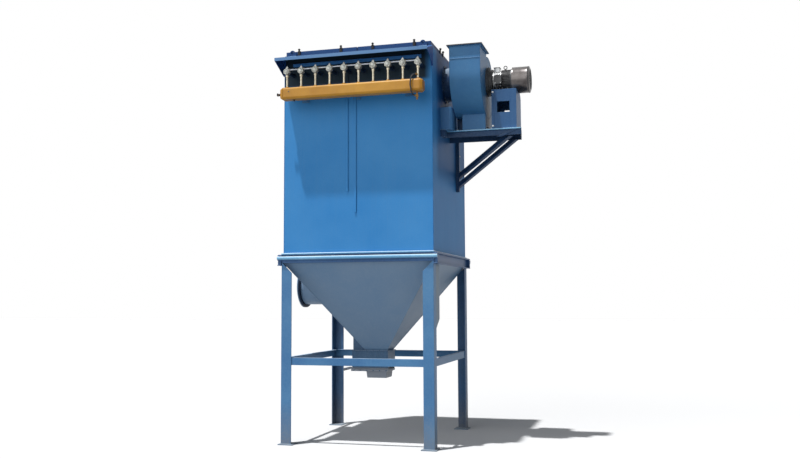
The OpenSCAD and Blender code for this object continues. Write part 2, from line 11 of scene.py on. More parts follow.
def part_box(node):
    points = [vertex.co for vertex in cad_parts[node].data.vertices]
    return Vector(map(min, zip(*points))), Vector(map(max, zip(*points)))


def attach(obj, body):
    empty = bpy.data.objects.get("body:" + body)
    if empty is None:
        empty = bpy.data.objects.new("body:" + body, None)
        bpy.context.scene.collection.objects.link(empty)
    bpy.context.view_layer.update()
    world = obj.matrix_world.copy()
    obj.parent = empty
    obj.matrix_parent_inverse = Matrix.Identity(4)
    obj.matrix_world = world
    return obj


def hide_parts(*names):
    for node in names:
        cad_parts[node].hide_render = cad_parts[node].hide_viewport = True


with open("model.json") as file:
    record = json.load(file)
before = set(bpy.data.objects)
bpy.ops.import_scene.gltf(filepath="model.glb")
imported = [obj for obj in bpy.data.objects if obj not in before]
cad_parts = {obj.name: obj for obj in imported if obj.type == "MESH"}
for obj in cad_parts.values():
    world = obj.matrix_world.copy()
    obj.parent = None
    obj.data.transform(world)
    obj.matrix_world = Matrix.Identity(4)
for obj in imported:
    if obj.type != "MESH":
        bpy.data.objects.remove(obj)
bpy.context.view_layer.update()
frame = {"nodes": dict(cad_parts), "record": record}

nodes = frame["nodes"]
scene = bpy.context.scene
print("frame loaded:", len(nodes), "nodes")

cameraSetup = {
    "eye": (3.623, -11.900, 1.829),
    "yaw": 0.2725,      # turned towards the left side, radians
    "pitch": 0.07894,   # looking slightly up
    "roll": -0.004536,
    "lens": 40.69, "sensor": 36, "sightEnd": 200,
}


def makeCamera(setup):
    # forward from yaw and pitch, then right and up turned about it by the roll
    yaw, pitch, roll = setup["yaw"], setup["pitch"], setup["roll"]
    level = math.cos(pitch)
    ahead = Vector((-math.sin(yaw) * level, math.cos(yaw) * level, math.sin(pitch)))
    side = Vector((math.cos(yaw), math.sin(yaw), 0))
    above = side.cross(ahead)
    right = side * math.cos(roll) + above * math.sin(roll)
    up = above * math.cos(roll) - side * math.sin(roll)
    data = bpy.data.cameras.new("camera")
    data.lens, data.sensor_width, data.clip_end = setup["lens"], setup["sensor"], setup["sightEnd"]
    camera = bpy.data.objects.new("camera", data)
    turn = Matrix((right, up, -ahead)).transposed().to_4x4()
    camera.matrix_world = Matrix.Translation(setup["eye"]) @ turn
    scene.collection.objects.link(camera)
    scene.camera = camera


makeCamera(cameraSetup)


def surface(points, closeRows=False, capped=True):
    # rows x cols x 3 points as (vertices, face arrays): quads between neighbouring rows and
    # columns, the columns closed round; open ends get a flat face each
    rows, cols = points.shape[:2]
    r, c = np.meshgrid(np.arange(rows if closeRows else rows - 1), np.arange(cols), indexing="ij")
    r1, c1 = (r + 1) % rows, (c + 1) % cols
    r, r1 = r * cols, r1 * cols
    faces = [np.stack([r + c, r + c1, r1 + c1, r1 + c], -1).reshape(-1, 4)]
    if capped and not closeRows:
        ends = np.arange(cols)[None]
        faces += [ends[:, ::-1], ends + (rows - 1) * cols]
    return points.reshape(-1, 3), faces


def joined(parts):
    # several (vertices, face arrays) as one, the face numbers moved on
    starts = np.concatenate([[0], np.cumsum([len(v) for v, f in parts])[:-1]])
    faces = [block + start for (v, f), start in zip(parts, starts) for block in f]
    return np.vstack([v for v, f in parts]), faces


def copies(part, places, turns=None):
    # the same part at many places: turn @ vertex + place, for all at once
    v, f = part
    places = np.asarray(places, float)
    turned = v[None] if turns is None else np.einsum("nij,vj->nvi", np.asarray(turns, float), v)
    starts = (np.arange(len(places)) * len(v))[:, None, None]
    return ((turned + places[:, None]).reshape(-1, 3),
            [(block[None] + starts).reshape(-1, block.shape[1]) for block in f])


def finishPiece(name, mesh, material, smooth, bevel=0, replaces=()):
    # turns the faces outwards, shades them, and puts the mesh on the plant
    bm = bmesh.new()
    bm.from_mesh(mesh)
    bmesh.ops.recalc_face_normals(bm, faces=bm.faces)
    bm.to_mesh(mesh)
    bm.free()
    mesh.shade_smooth()
    mesh.set_sharp_from_angle(angle=math.radians(smooth))
    mesh.materials.clear()
    mesh.materials.append(material)
    piece = bpy.data.objects.new(name, mesh)
    scene.collection.objects.link(piece)
    if bevel:
        edge = piece.modifiers.new("rounded_edge", "BEVEL")
        edge.width, edge.segments = bevel, 2
        edge.limit_method, edge.angle_limit = "ANGLE", math.radians(40)
        edge.harden_normals = True
    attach(piece, "root")
    if replaces:
        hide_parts(*replaces)
    return piece


def makePiece(name, part, finish, smooth=35, replaces=()):
    # one part, or a list of them, as a piece of the plant in a finish
    v, f = joined(part) if isinstance(part, list) else part
    mesh = bpy.data.meshes.new(name)
    mesh.from_pydata(v.tolist(), [], [face for block in f for face in block.tolist()])
    material, usualSlot = finishes[finish]
    return finishPiece(name, mesh, material, smooth, replaces=replaces)


def roundEdges(nodeName, width):
    # a merged copy of a steelwork node with its edges rounded, as rolled and folded steel has
    mesh = nodes[nodeName].data.copy()
    mesh.name = nodeName + "_steel"
    bm = bmesh.new()
    bm.from_mesh(mesh)
    bmesh.ops.remove_doubles(bm, verts=bm.verts, dist=0.00005)
    bmesh.ops.dissolve_limit(bm, angle_limit=math.radians(1), verts=bm.verts, edges=bm.edges)
    bm.to_mesh(mesh)
    bm.free()
    finishPiece(mesh.name, mesh, materialOf(nodeName), 25, width, [nodeName])


def aimed(direction):
    # 3x3 turn that carries +Z onto a direction
    return np.array(Vector(direction).to_track_quat("Z", "Y").to_matrix())


alongX, toRear, toFront, down = (1, 0, 0), (0, 1, 0), (0, -1, 0), (0, 0, -1)


def placed(part, place=(0, 0, 0), direction=(0, 0, 1)):
    v, f = part
    return v @ aimed(direction).T + np.asarray(place, float), f


def mm(*values):
    # millimetres to metres
    return np.array(values) / 1000


def shares(radius, *shape):
    # radii as shares of one radius, with heights in millimetres
    return np.array(shape) * [radius, 0.001]


def turnedProfile(profile, sides, lobes=0, depth=0.0, start=0.0):
    # radius and height pairs carried round +Z: r * (1 + depth * cos(lobes * angle))
    angle = np.linspace(0, 2 * np.pi, sides, endpoint=False) + start
    r, z = np.asarray(profile, float).T[:, :, None]
    wave = 1 + depth * np.cos(lobes * (angle - start))
    x, y = r * np.cos(angle) * wave, r * np.sin(angle) * wave
    return surface(np.stack([x, y, np.broadcast_to(z, x.shape)], -1))


def pillow(width, depth, low, high, corner, edge):
    # block with quarter-circle corners, its rims drawn in by edge: each rim is corner centre
    # + (corner - inset) * (cos, sin), carried up through the four rim heights
    a = np.linspace(0, np.pi / 2, 4)
    a = (a[None] + np.arange(4)[:, None] * np.pi / 2).ravel()
    middle = np.pi / 4 + np.repeat(np.arange(4), 4) * np.pi / 2
    sx, sy = np.sign(np.cos(middle)), np.sign(np.sin(middle))
    inset = np.array([edge, 0, 0, edge])[:, None]
    z = np.array([low, low + edge, high - edge, high])[:, None]
    x = sx * (width / 2 - corner) + (corner - inset) * np.cos(a)
    y = sy * (depth / 2 - corner) + (corner - inset) * np.sin(a)
    return surface(np.stack([x, y, np.broadcast_to(z, x.shape)], -1))


def tube(path, radius, sides=12, ripple=0.0, pitch=0.01, closed=False):
    # circle carried along a path; the radius swells by a share ripple once every pitch metres
    path = np.asarray(path, float)
    ahead = np.roll(path, -1, 0) - np.roll(path, 1, 0) if closed else np.gradient(path, axis=0)
    ahead /= np.linalg.norm(ahead, axis=1)[:, None]
    sideways = np.array([[0.0, 0.0, 1.0], [1.0, 0.0, 0.0], [0.0, 1.0, 0.0], [0.9, 0.1, 0.42]])
    ref = sideways[np.abs(ahead @ sideways.T).max(0).argmin()]
    u = np.cross(ahead, ref)
    u /= np.linalg.norm(u, axis=1)[:, None]
    v = np.cross(ahead, u)
    run = np.concatenate([[0], np.cumsum(np.linalg.norm(np.diff(path, axis=0), axis=1))])
    r = radius * (1 + ripple * np.abs(np.sin(np.pi * run / pitch)))
    a = np.linspace(0, 2 * np.pi, sides, endpoint=False)
    ring = np.cos(a)[None, :, None] * u[:, None] + np.sin(a)[None, :, None] * v[:, None]
    return surface(path[:, None] + r[:, None, None] * ring, closeRows=closed, capped=not closed)


def line(start, end, step):
    # evenly spaced points from start to end
    start, end = np.asarray(start, float), np.asarray(end, float)
    count = max(2, int(np.linalg.norm(end - start) / step) + 1)
    return start + np.linspace(0, 1, count)[:, None] * (end - start)


def circle(centre, radius, axis, count, start=0.0):
    # centre + radius * (cos, sin) in the plane across an axis
    a = np.linspace(0, 2 * np.pi, count, endpoint=False) + start
    flat = np.stack([np.cos(a), np.sin(a), 0 * a], 1) * radius
    return flat @ aimed(axis).T + np.asarray(centre, float)


def smoothPath(points, each):
    # Catmull-Rom curve through the points, each stretch cut into equal steps
    p = np.asarray(points, float)
    p = np.vstack([2 * p[0] - p[1], p, 2 * p[-1] - p[-2]])
    t = np.linspace(0, 1, each, endpoint=False)[:, None]
    a, b, c, d = p[:-3, None], p[1:-2, None], p[2:-1, None], p[3:, None]
    curve = 0.5 * (2 * b + (c - a) * t + (2 * a - 5 * b + 4 * c - d) * t**2
                   + (3 * b - a - 3 * c + d) * t**3)
    return np.vstack([curve.reshape(-1, 3), p[-2]])


# a bolt's washer, six-sided head with a chamfered top, and stub of thread: the number of sides,
# then radius and height as shares of the bolt's size
boltParts = [(16, [(1.05, 0), (1.05, 0.16)]), (6, [(0.9, 0.16), (0.9, 0.66), (0.78, 0.78)]),
             (10, [(0.48, 0.7), (0.48, 1.05), (0.4, 1.15)])]


def boltGroup(size, places, direction):
    bolt = joined([turnedProfile(np.array(shape) * size, sides) for sides, shape in boltParts])
    return copies(bolt, places, np.repeat(aimed(direction)[None], len(places), 0))


def weldBead(path, radius, closed=False):
    # fillet of weld metal: a tube whose radius swells once every bead ripple
    return tube(path, radius, 8, 0.16, radius * 2.6, closed)


def straightBead(start, end, radius=0.004, step=0.004):
    return weldBead(line(start, end, step), radius)


def linear(code):
    # sRGB hex to linear RGBA
    s = np.array([int(code[i:i + 2], 16) for i in (1, 3, 5)]) / 255
    lin = np.where(s <= 0.04045, s / 12.92, ((s + 0.055) / 1.055) ** 2.4)
    return (*lin.tolist(), 1.0)


def addNode(tree, kind, sockets=None, links=None, stops=None, **settings):
    # one node with its settings, socket values and incoming links. A link comes from a socket,
    # or from a node's first output in use
    made = tree.nodes.new("ShaderNode" + kind)
    for key, value in settings.items():
        setattr(made, key, value)
    for key, value in (sockets or {}).items():
        made.inputs[key].default_value = value
    for key, source in (links or {}).items():
        if isinstance(source, bpy.types.Node):
            source = next(output for output in source.outputs if output.enabled)
        tree.links.new(source, made.inputs[key])
    if stops:
        ramp = made.color_ramp.elements
        while len(ramp) < len(stops):
            ramp.new(0.5)
        for element, (at, value) in zip(ramp, stops):
            element.position = at
            element.color = (value, value, value, 1) if np.isscalar(value) else value
    return made


def emptyTree(owner):
    # clears a material's or the world's nodes, and gives addNode for that tree
    owner.use_nodes = True
    owner.node_tree.nodes.clear()
    return partial(addNode, owner.node_tree)


def endMaterial(add, sockets, links):
    add("OutputMaterial", links={"Surface": add("BsdfPrincipled", sockets, links)})


def softArea(add, edges):
    # ramps multiplied together; each has a source, where it starts and ends, its top and kind
    area = None
    for source, start, end, top, kind in edges:
        ramp = add("MapRange", {"From Min": start, "From Max": end, "To Max": top},
                   {"Value": source}, interpolation_type=kind)
        area = add("Math", links={0: area, 1: ramp}, operation="MULTIPLY") if area else ramp
    return area


# where each stain's and each painted shade's edges start and end, in metres
stainAndShadeEdges = {
    "splash": (0.55, 0.02), "recessShadeLow": (4.60, 4.66), "recessShadeHigh": (5.08, 5.05),
    "recessShadeFront": (-0.9, -0.97), "recessShadeEnd": (0.99, 0.9), "underDeckShadeLow": (3.3, 3.6),
    "underDeckShadeFront": (-0.85, -0.6),
}


def sprayedEnamel(name, look):
    # Air-dry enamel sprayed on steel. Gives the eye an even colour that has chalked in broad
    # patches, faint runs left by rain on upright faces, pale dust on everything that looks up,
    # which also paints in sunlight on tops, road dust low down, a few small brown chips, and the
    # soft gloss of an orange peel. Where a look asks, it paints shade on the wall behind the valves
    # and on the right wall under the fan platform.
    made = bpy.data.materials.new(name)
    add = emptyTree(made)
    where = add("TexCoord").outputs["Object"]
    across, inward, height = add("SeparateXYZ", links={"Vector": where}).outputs
    normal = add("NewGeometry").outputs["Normal"]
    facing = add("SeparateXYZ", links={"Vector": normal}).outputs
    patches = add("TexNoise", {"Scale": look["patchScale"], "Detail": 4.0, "Roughness": 0.55},
                  {"Vector": where})
    patchMask = add("ValToRGB", links={"Fac": patches}, stops=[(0.34, 0.0), (0.68, 1.0)])
    # rain runs: noise squeezed to 25 mm across and stretched to about a metre down
    squeeze = add("Mapping", {"Scale": (38.0, 38.0, 1.1)}, {"Vector": where})
    runs = add("TexNoise", {"Scale": 1.0, "Detail": 3.0, "Roughness": 0.6}, {"Vector": squeeze})
    runMask = add("ValToRGB", links={"Fac": runs}, stops=[(0.5, 0.0), (0.78, look["runs"])])
    # dust in a fine speckle everywhere, and pale dust on faces that look up, which also paints in
    # the sunlight that falls on tops
    upwardDustAndLight = softArea(add, [(facing["Z"], 0.25, 1.0, look["topDustAndLight"], "LINEAR")])
    speckle = add("TexNoise", {"Scale": 55.0, "Detail": 5.0, "Roughness": 0.7}, {"Vector": where})
    speckled = softArea(add, [(speckle, 0.42, 0.72, look["speckle"], "LINEAR")])
    dustAndTopLightMask = add("Math", links={0: upwardDustAndLight, 1: speckled}, operation="ADD", use_clamp=True)
    # splashed dirt up to half a metre above the ground
    splash = softArea(add, [(height, *stainAndShadeEdges["splash"], look["splash"], "LINEAR")])
    splashMask = add("Math", links={0: splash, 1: speckle}, operation="MULTIPLY", use_clamp=True)
    # painted shade: the wall behind the valves is darkened from the tank up to the hood, where the
    # hood and tank shade it
    recessShadeMask = softArea(add, [
        (height, *stainAndShadeEdges["recessShadeLow"], look["recessShade"], "SMOOTHSTEP"),
        (height, *stainAndShadeEdges["recessShadeHigh"], 1.0, "LINEAR"),
        (inward, *stainAndShadeEdges["recessShadeFront"], 1.0, "LINEAR"),
        (across, *stainAndShadeEdges["recessShadeEnd"], 1.0, "LINEAR")])
    # painted shade: the right wall under the fan platform is mixed to a deeper blue, where the
    # platform shades it
    underDeckShadeMask = softArea(add, [
        (facing["X"], 0.5, 0.9, look["underDeckShade"], "LINEAR"),
        (height, *stainAndShadeEdges["underDeckShadeLow"], 1.0, "SMOOTHSTEP"),
        (inward, *stainAndShadeEdges["underDeckShadeFront"], 1.0, "SMOOTHSTEP")])
    # chips of 2 to 6 mm down to brown primer
    chips = add("TexVoronoi", {"Scale": 14.0, "Randomness": 1.0}, {"Vector": where})
    chipMask = add("ValToRGB", links={"Fac": chips},
                   stops=[(look["chip"], 0.75), (look["chip"] + 0.02, 0.0)])
    colour = add("Mix", {"A": linear(look["deep"]), "B": linear(look["chalked"])},
                 {"Factor": patchMask}, data_type="RGBA")
    for tone, mask in (("runTone", runMask), ("dust", dustAndTopLightMask), ("dirt", splashMask),
                       ("recessShadeTone", recessShadeMask), ("underDeckShadeTone", underDeckShadeMask),
                       ("primer", chipMask)):
        colour = add("Mix", {"B": linear(look[tone])}, {"Factor": mask, "A": colour},
                     data_type="RGBA")
    gloss = add("MapRange", {"To Min": look["rough"][0], "To Max": look["rough"][1]},
                {"Value": patches})
    rough = add("Math", links={0: dustAndTopLightMask, 1: gloss}, operation="ADD", use_clamp=True)
    # sheet buckles softly between its welds; the paint has an orange peel
    buckle = add("TexNoise", {"Scale": 2.1, "Detail": 1.0}, {"Vector": where})
    buckled = add("Bump", {"Strength": look["buckle"], "Distance": 0.02}, {"Height": buckle})
    peel = add("TexNoise", {"Scale": 320.0, "Detail": 2.0}, {"Vector": where})
    peeled = add("Bump", {"Strength": 0.12, "Distance": 0.0006},
                 {"Height": peel, "Normal": buckled})
    endMaterial(add, {"IOR": 1.45, "Specular IOR Level": look["sheen"]},
                {"Base Color": colour, "Roughness": rough, "Normal": peeled})
    return made


# each enamel: its material's name and usual slot, the look that it starts from, and what differs
enamelLooks = {
    "sheet": ("blue_enamel_on_sheet", "blue_sheet", None, dict(
        deep="#2570b2", chalked="#327bb9", runTone="#4f83b2", dust="#a3b4c2", dirt="#7d7564",
        primer="#5b4136", recessShadeTone="#1a2529", underDeckShadeTone="#17406e", patchScale=0.9, runs=0.16,
        topDustAndLight=0.35, speckle=0.03, splash=0.0, chip=0.016, rough=(0.34, 0.5), buckle=0.35,
        sheen=0.24, recessShade=0.0, underDeckShade=0.0)),
    # the walls carry two painted shades: darker behind the valves, deeper blue on the right wall
    # under the fan platform
    "wall": ("blue_enamel_with_painted_shade_on_walls", "blue_sheet", "sheet", dict(
        deep="#307ab8", chalked="#4186c0", recessShade=0.96, underDeckShade=0.7, sheen=0.12,
        rough=(0.42, 0.58))),
    "frame": ("blue_enamel_on_sections", "blue_frame", "sheet", dict(
        deep="#3a6a98", chalked="#4b7ba4", dust="#b4c3cf", topDustAndLight=0.6, patchScale=2.2,
        speckle=0.06, splash=0.9, chip=0.026, buckle=0.08)),
    # painted shade: the ring beam is painted darker where its flanges shade its web
    "beam": ("painted_shade_blue_enamel_on_ring_beam", "blue_frame", "frame", dict(
        deep="#2b4f7c", chalked="#3a608d", topDustAndLight=0.3)),
    # painted shade: the rear legs are painted darker, as they stand in the shade under the hopper
    "rear": ("painted_shade_blue_enamel_on_rear_legs", "blue_frame", "frame", dict(
        deep="#2c5078", chalked="#3a5f85")),
    # painted light: the side plate is painted a pale grey for the ground light on its outward face
    "side": ("painted_light_grey_enamel_on_side_plate", "blue_frame", "frame", dict(
        deep="#526d84", chalked="#667f92")),
    "gate": ("slate_blue_enamel_on_gate", "blue_sheet", "frame", dict(
        deep="#33506e", chalked="#46627e")),
    # painted light: the rail under the hood is painted a brighter blue than the shade there would
    # give
    "rail": ("painted_light_blue_enamel_on_hood_rail", "blue_frame", "frame", dict(
        deep="#2f70b5", chalked="#4082c4", speckle=0.02)),
    # painted shade: the platform, its struts, duct, wall angle and web plate are painted darker, as
    # they lie in the fan's shade
    "platform": ("painted_shade_dark_blue_enamel_on_platform", "blue_frame", "frame", dict(
        deep="#173354", chalked="#224266", runTone="#3b5778", topDustAndLight=0.7, splash=0.0,
        sheen=0.18)),
    # painted highlight: rolled edges and the deck nosing are painted pale where the sun catches
    # them
    "edge": ("painted_highlight_blue_enamel_on_edges", "blue_frame", "frame", dict(
        deep="#5f9fc9", chalked="#82b7d8", dust="#d6e4ea", topDustAndLight=0.95, sheen=0.5,
        rough=(0.22, 0.34), speckle=0.0)),
    # dust and painted reflection: the hopper is a greyer blue, partly dust and partly the ground
    # reflected in its down-facing sides
    "hopper": ("dusty_blue_enamel_and_painted_ground_reflection_on_hopper", "blue_sheet", "sheet", dict(
        deep="#5f7f9f", chalked="#7089a3", runTone="#7d8fa3", dust="#9aa2ab", patchScale=1.3,
        runs=0.25, speckle=0.12, rough=(0.36, 0.5), sheen=0.4)),
    "spout": ("worn_grey_enamel_on_spout", "blue_sheet", "hopper", dict(
        deep="#78818e", chalked="#8b929c", runTone="#8f9299")),
    "fan": ("blue_enamel_on_fan", "blue_sheet", "sheet", dict(
        deep="#2f6492", chalked="#3c719c", runTone="#4b739a", topDustAndLight=0.5, patchScale=1.8,
        buckle=0.2)),
    "pedestal": ("blue_enamel_on_pedestal", "blue_sheet", "fan", dict(
        deep="#254f7b", chalked="#305b87")),
    # painted light: the wall stand is painted paler, for the light that falls on it
    "stand": ("painted_light_blue_enamel_on_wall_stand", "blue_sheet", "fan", dict(
        deep="#3a6c9c", chalked="#4a7ca8")),
    "roof": ("dark_blue_enamel_on_roof", "blue_sheet", "sheet", dict(
        deep="#17396a", chalked="#224a79", runTone="#33567f", topDustAndLight=0.04, sheen=0.14,
        rough=(0.4, 0.56))),
    "hood": ("blue_enamel_on_hood", "blue_sheet", "roof", dict(deep="#164382", chalked="#20508f")),
    # painted highlight: the strip on the hood's front edge is painted pale for the sunlit slope of
    # the hood
    "fascia": ("painted_highlight_blue_enamel_on_hood_edge", "blue_sheet", "roof", dict(
        deep="#446f9e", chalked="#5a82ad", topDustAndLight=0.4, sheen=0.4)),
    # painted shade: the valve outlets and their wall rings are painted near black for the deep
    # shade under the hood; the ring behind the inlet flange takes the same near black
    "dark": ("near_black_enamel_and_painted_shade", "blue_sheet", "roof", dict(
        deep="#0d1c30", chalked="#182c45", runTone="#24384f")),
    "tank": ("ochre_enamel_on_tank", "yellow_tank", "sheet", dict(
        deep="#a47112", chalked="#ba8726", runTone="#96702f", dust="#cdae73", topDustAndLight=0.15,
        patchScale=2.6, runs=0.3, chip=0.024, buckle=0.05, speckle=0.05, sheen=0.36,
        rough=(0.26, 0.38))),
}
looks, finishes = {None: {}}, {}
for key, (materialName, slot, startsFrom, changes) in enamelLooks.items():
    looks[key] = {**looks[startsFrom], **changes}
    finishes[key] = (sprayedEnamel(materialName, looks[key]), slot)


def cloudedSkin(add, look, softness, stops):
    # a tone and a gloss that change together in clouds
    detail, roughness = softness
    where = add("TexCoord").outputs["Object"]
    cloud = add("TexNoise", {"Scale": look["cloud"], "Detail": detail, "Roughness": roughness},
                {"Vector": where})
    tone = add("ValToRGB", links={"Fac": cloud}, stops=stops)
    gloss = add("MapRange", {"To Min": look["rough"][0], "To Max": look["rough"][1]},
                {"Value": cloud})
    return where, tone, gloss


def bareMetal(name, look):
    # Cast, drawn or plated metal without paint. Gives the eye a cloudy grey whose gloss changes
    # over a few centimetres, dark grime in scattered clouds, and a fine cast or drawn grain.
    made = bpy.data.materials.new(name)
    add = emptyTree(made)
    where, tone, gloss = cloudedSkin(add, look, (5.0, 0.62),
                                     [(0.3, linear(look["dark"])), (0.7, linear(look["light"]))])
    grime = add("TexNoise", {"Scale": look["cloud"] * 0.4, "Detail": 6.0, "Roughness": 0.7},
                {"Vector": where})
    grimeMask = add("ValToRGB", links={"Fac": grime}, stops=[(0.5, 0.0), (0.72, look["grime"])])
    soiled = add("Mix", {"B": linear("#4c4438")}, {"Factor": grimeMask, "A": tone},
                 data_type="RGBA")
    drawn = add("Mapping", {"Scale": look["drawn"]}, {"Vector": where})
    grain = add("TexNoise", {"Scale": look["grain"], "Detail": 3.0}, {"Vector": drawn})
    bump = add("Bump", {"Strength": look["bump"], "Distance": 0.0008}, {"Height": grain})
    endMaterial(add, {"Metallic": look["metallic"]},
                {"Base Color": soiled, "Roughness": gloss, "Normal": bump})
    return made


metalLooks = {
    "aluminium": ("sand_cast_aluminium", "cast_aluminium", {
        "dark": "#7f827e", "light": "#c6c8c2", "cloud": 26.0, "grime": 0.6, "rough": (0.42, 0.68),
        "grain": 420.0, "drawn": (1, 1, 1), "bump": 0.35, "metallic": 0.7}),
    "zinc": ("zinc_plated_pipe", "zinc_pipe", {
        "dark": "#b3a88f", "light": "#d9d2be", "cloud": 34.0, "grime": 0.3, "rough": (0.3, 0.5),
        "grain": 300.0, "drawn": (1, 1, 0.1), "bump": 0.1, "metallic": 0.5}),
    "airPipe": ("grey_coated_air_pipe", "zinc_pipe", {
        "dark": "#a9b2bd", "light": "#dfe5ee", "cloud": 30.0, "grime": 0.15, "rough": (0.3, 0.45),
        "grain": 300.0, "drawn": (0.1, 1, 1), "bump": 0.05, "metallic": 0.0}),
    "bolt": ("zinc_plated_bolt_steel", "zinc_pipe", {
        "dark": "#8b8d8e", "light": "#c4c6c6", "cloud": 70.0, "grime": 0.3, "rough": (0.28, 0.5),
        "grain": 500.0, "drawn": (1, 1, 1), "bump": 0.1, "metallic": 0.85}),
    "brass": ("weathered_brass", "brass_fittings", {
        "dark": "#6b4a24", "light": "#a07c42", "cloud": 48.0, "grime": 0.6, "rough": (0.35, 0.6),
        "grain": 500.0, "drawn": (1, 1, 1), "bump": 0.2, "metallic": 0.85}),
    # the cowl is spun sheet: its grain runs round the motor's axis, which lies along X
    "cowl": ("spun_steel_cowl", "steel_cover", {
        "dark": "#454141", "light": "#6d6968", "cloud": 6.0, "grime": 0.3, "rough": (0.24, 0.34),
        "grain": 260.0, "drawn": (1, 0.06, 0.06), "bump": 0.12, "metallic": 0.92}),
}
for key, (materialName, slot, look) in metalLooks.items():
    finishes[key] = (bareMetal(materialName, look), slot)


def blackCasting(name, look):
    # Black enamel on cast iron, or black moulded resin and rubber. Gives the eye a near black
    # with grey dust in soft clouds, a pebbled skin and a dull sheen.
    made = bpy.data.materials.new(name)
    add = emptyTree(made)
    where, tone, gloss = cloudedSkin(add, look, (4.0, 0.6),
                                     [(0.38, linear(look["black"])), (0.75, linear(look["dust"]))])
    skin = add("TexVoronoi", {"Scale": look["pebble"]}, {"Vector": where})
    bump = add("Bump", {"Strength": look["bump"], "Distance": 0.0006}, {"Height": skin})
    endMaterial(add, {"Specular IOR Level": look["sheen"]},
                {"Base Color": tone, "Roughness": gloss, "Normal": bump})
    return made


blackLooks = {
    "motor": ("black_enamel_on_cast_iron", "black_motor", {
        "black": "#1b1d1f", "dust": "#45474a", "cloud": 14.0, "rough": (0.36, 0.6),
        "pebble": 240.0, "bump": 0.4, "sheen": 0.5}),
    "knob": ("black_moulded_resin", "black_fittings", {
        "black": "#08090a", "dust": "#1b1c1f", "cloud": 40.0, "rough": (0.3, 0.5),
        "pebble": 700.0, "bump": 0.08, "sheen": 0.2}),
    "rubber": ("black_hose_rubber", "black_rubber", {
        "black": "#0f1216", "dust": "#30343a", "cloud": 60.0, "rough": (0.42, 0.62),
        "pebble": 520.0, "bump": 0.2, "sheen": 0.35}),
}
for key, (materialName, slot, look) in blackLooks.items():
    finishes[key] = (blackCasting(materialName, look), slot)

slotOf = {part["node"]: part["material_slot"] for part in frame["record"]["subparts"]}
slotFinish = {
    "blue_frame": "frame", "blue_sheet": "sheet", "yellow_tank": "tank", "zinc_pipe": "zinc",
    "cast_aluminium": "aluminium", "brass_fittings": "brass", "steel_cover": "cowl",
    "black_motor": "motor", "black_fittings": "knob", "black_rubber": "rubber",
}
# nodes whose finish differs from their slot's
ownNodes = {
    "wall": ["housing_shell", "front_ribs"], "hopper": ["hopper_shell", "inlet_duct"],
    "spout": ["dust_outlet", "slide_gate"], "gate": ["gate_housing", "gate_brackets"],
    "fan": ["fan_casing", "fan_base"], "pedestal": ["motor_pedestal"], "stand": ["wall_stand"],
    "platform": ["fan_inlet_duct", "platform_frame", "platform_struts", "wall_angle"],
    "roof": ["roof_lid_left", "roof_lid_right", "roof_plate", "lifting_lugs"],
    "rear": ["leg_rear_left", "leg_rear_right"], "side": ["leg_side_plate"],
    "airPipe": ["air_line"], "hood": ["rain_hood"], "rail": ["hood_rail"],
    "dark": ["valve_outlets"], "beam": ["ring_beam"],
}
ownFinish = {name: key for key, names in ownNodes.items() for name in names}


def materialOf(nodeName):
    return finishes[ownFinish.get(nodeName, slotFinish[slotOf[nodeName]])][0]


for nodeName, cadObject in nodes.items():
    for materialSlot in cadObject.material_slots:
        materialSlot.material = materialOf(nodeName)
print("finishes made:", len(bpy.data.materials))

# folded sheet and rolled sections: radius of their rounded edges, in metres
edgeRadius = {
    "base_flange": 0.003, "ring_beam": 0.003, "roof_lid_left": 0.004, "roof_lid_right": 0.004,
    "roof_plate": 0.002, "rain_hood": 0.0015, "hood_rail": 0.003, "lifting_lugs": 0.003,
    "leg_front_left": 0.003, "leg_front_right": 0.003, "leg_rear_left": 0.003,
    "leg_rear_right": 0.003, "leg_side_plate": 0.002, "leg_braces": 0.002,
    "foot_plates": 0.002, "gate_housing": 0.002, "gate_brackets": 0.002, "slide_gate": 0.002,
    "wall_stand": 0.004, "platform_frame": 0.002, "platform_struts": 0.004, "wall_angle": 0.003,
    "motor_pedestal": 0.002, "tank_ends": 0.003, "tank_brackets": 0.002, "front_ribs": 0.004,
    "fan_base": 0.002,
}
for nodeName, radius in edgeRadius.items():
    roundEdges(nodeName, radius)
print("edges rounded:", len(edgeRadius), "pieces")

hoseValues = {
    "diameter": 0.018,
    "route": [
        (0.861, -1.218, 4.630), (0.854, -1.228, 4.630), (0.839, -1.251, 4.626),
        (0.826, -1.271, 4.613), (0.815, -1.287, 4.594), (0.808, -1.298, 4.569),
        (0.805, -1.303, 4.542), (0.802, -1.307, 4.516), (0.801, -1.308, 4.490),
        (0.803, -1.308, 4.464), (0.808, -1.307, 4.439), (0.810, -1.304, 4.414),
        (0.815, -1.294, 4.392), (0.823, -1.278, 4.374), (0.833, -1.258, 4.363),
        (0.844, -1.236, 4.359), (0.850, -1.223, 4.359)],
}


def makeHose(values):
    path = smoothPath(values["route"], 6)
    hose = makePiece("rubber_hose", tube(path, values["diameter"] / 2, 16), "rubber",
                     replaces=["tank_hose"])


makeHose(hoseValues)

tankLow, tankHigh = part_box("air_tank")
valveValues = {
    "count": 10, "pitch": 0.194, "y": (tankLow.y + tankHigh.y) / 2, "z": 4.785,
    "coilRise": 0.042, "nutDrop": 0.058, "lineRise": 0.026, "nutReach": 0.031,
    "screw": 0.006, "screwOut": 0.0395, "screwRing": 0.0325, "coverTurn": 0.52,
}
valveX = (np.arange(valveValues["count"]) - (valveValues["count"] - 1) / 2) * valveValues["pitch"]
valveSpots = np.stack([valveX, 0 * valveX + valveValues["y"], 0 * valveX + valveValues["z"]], 1)


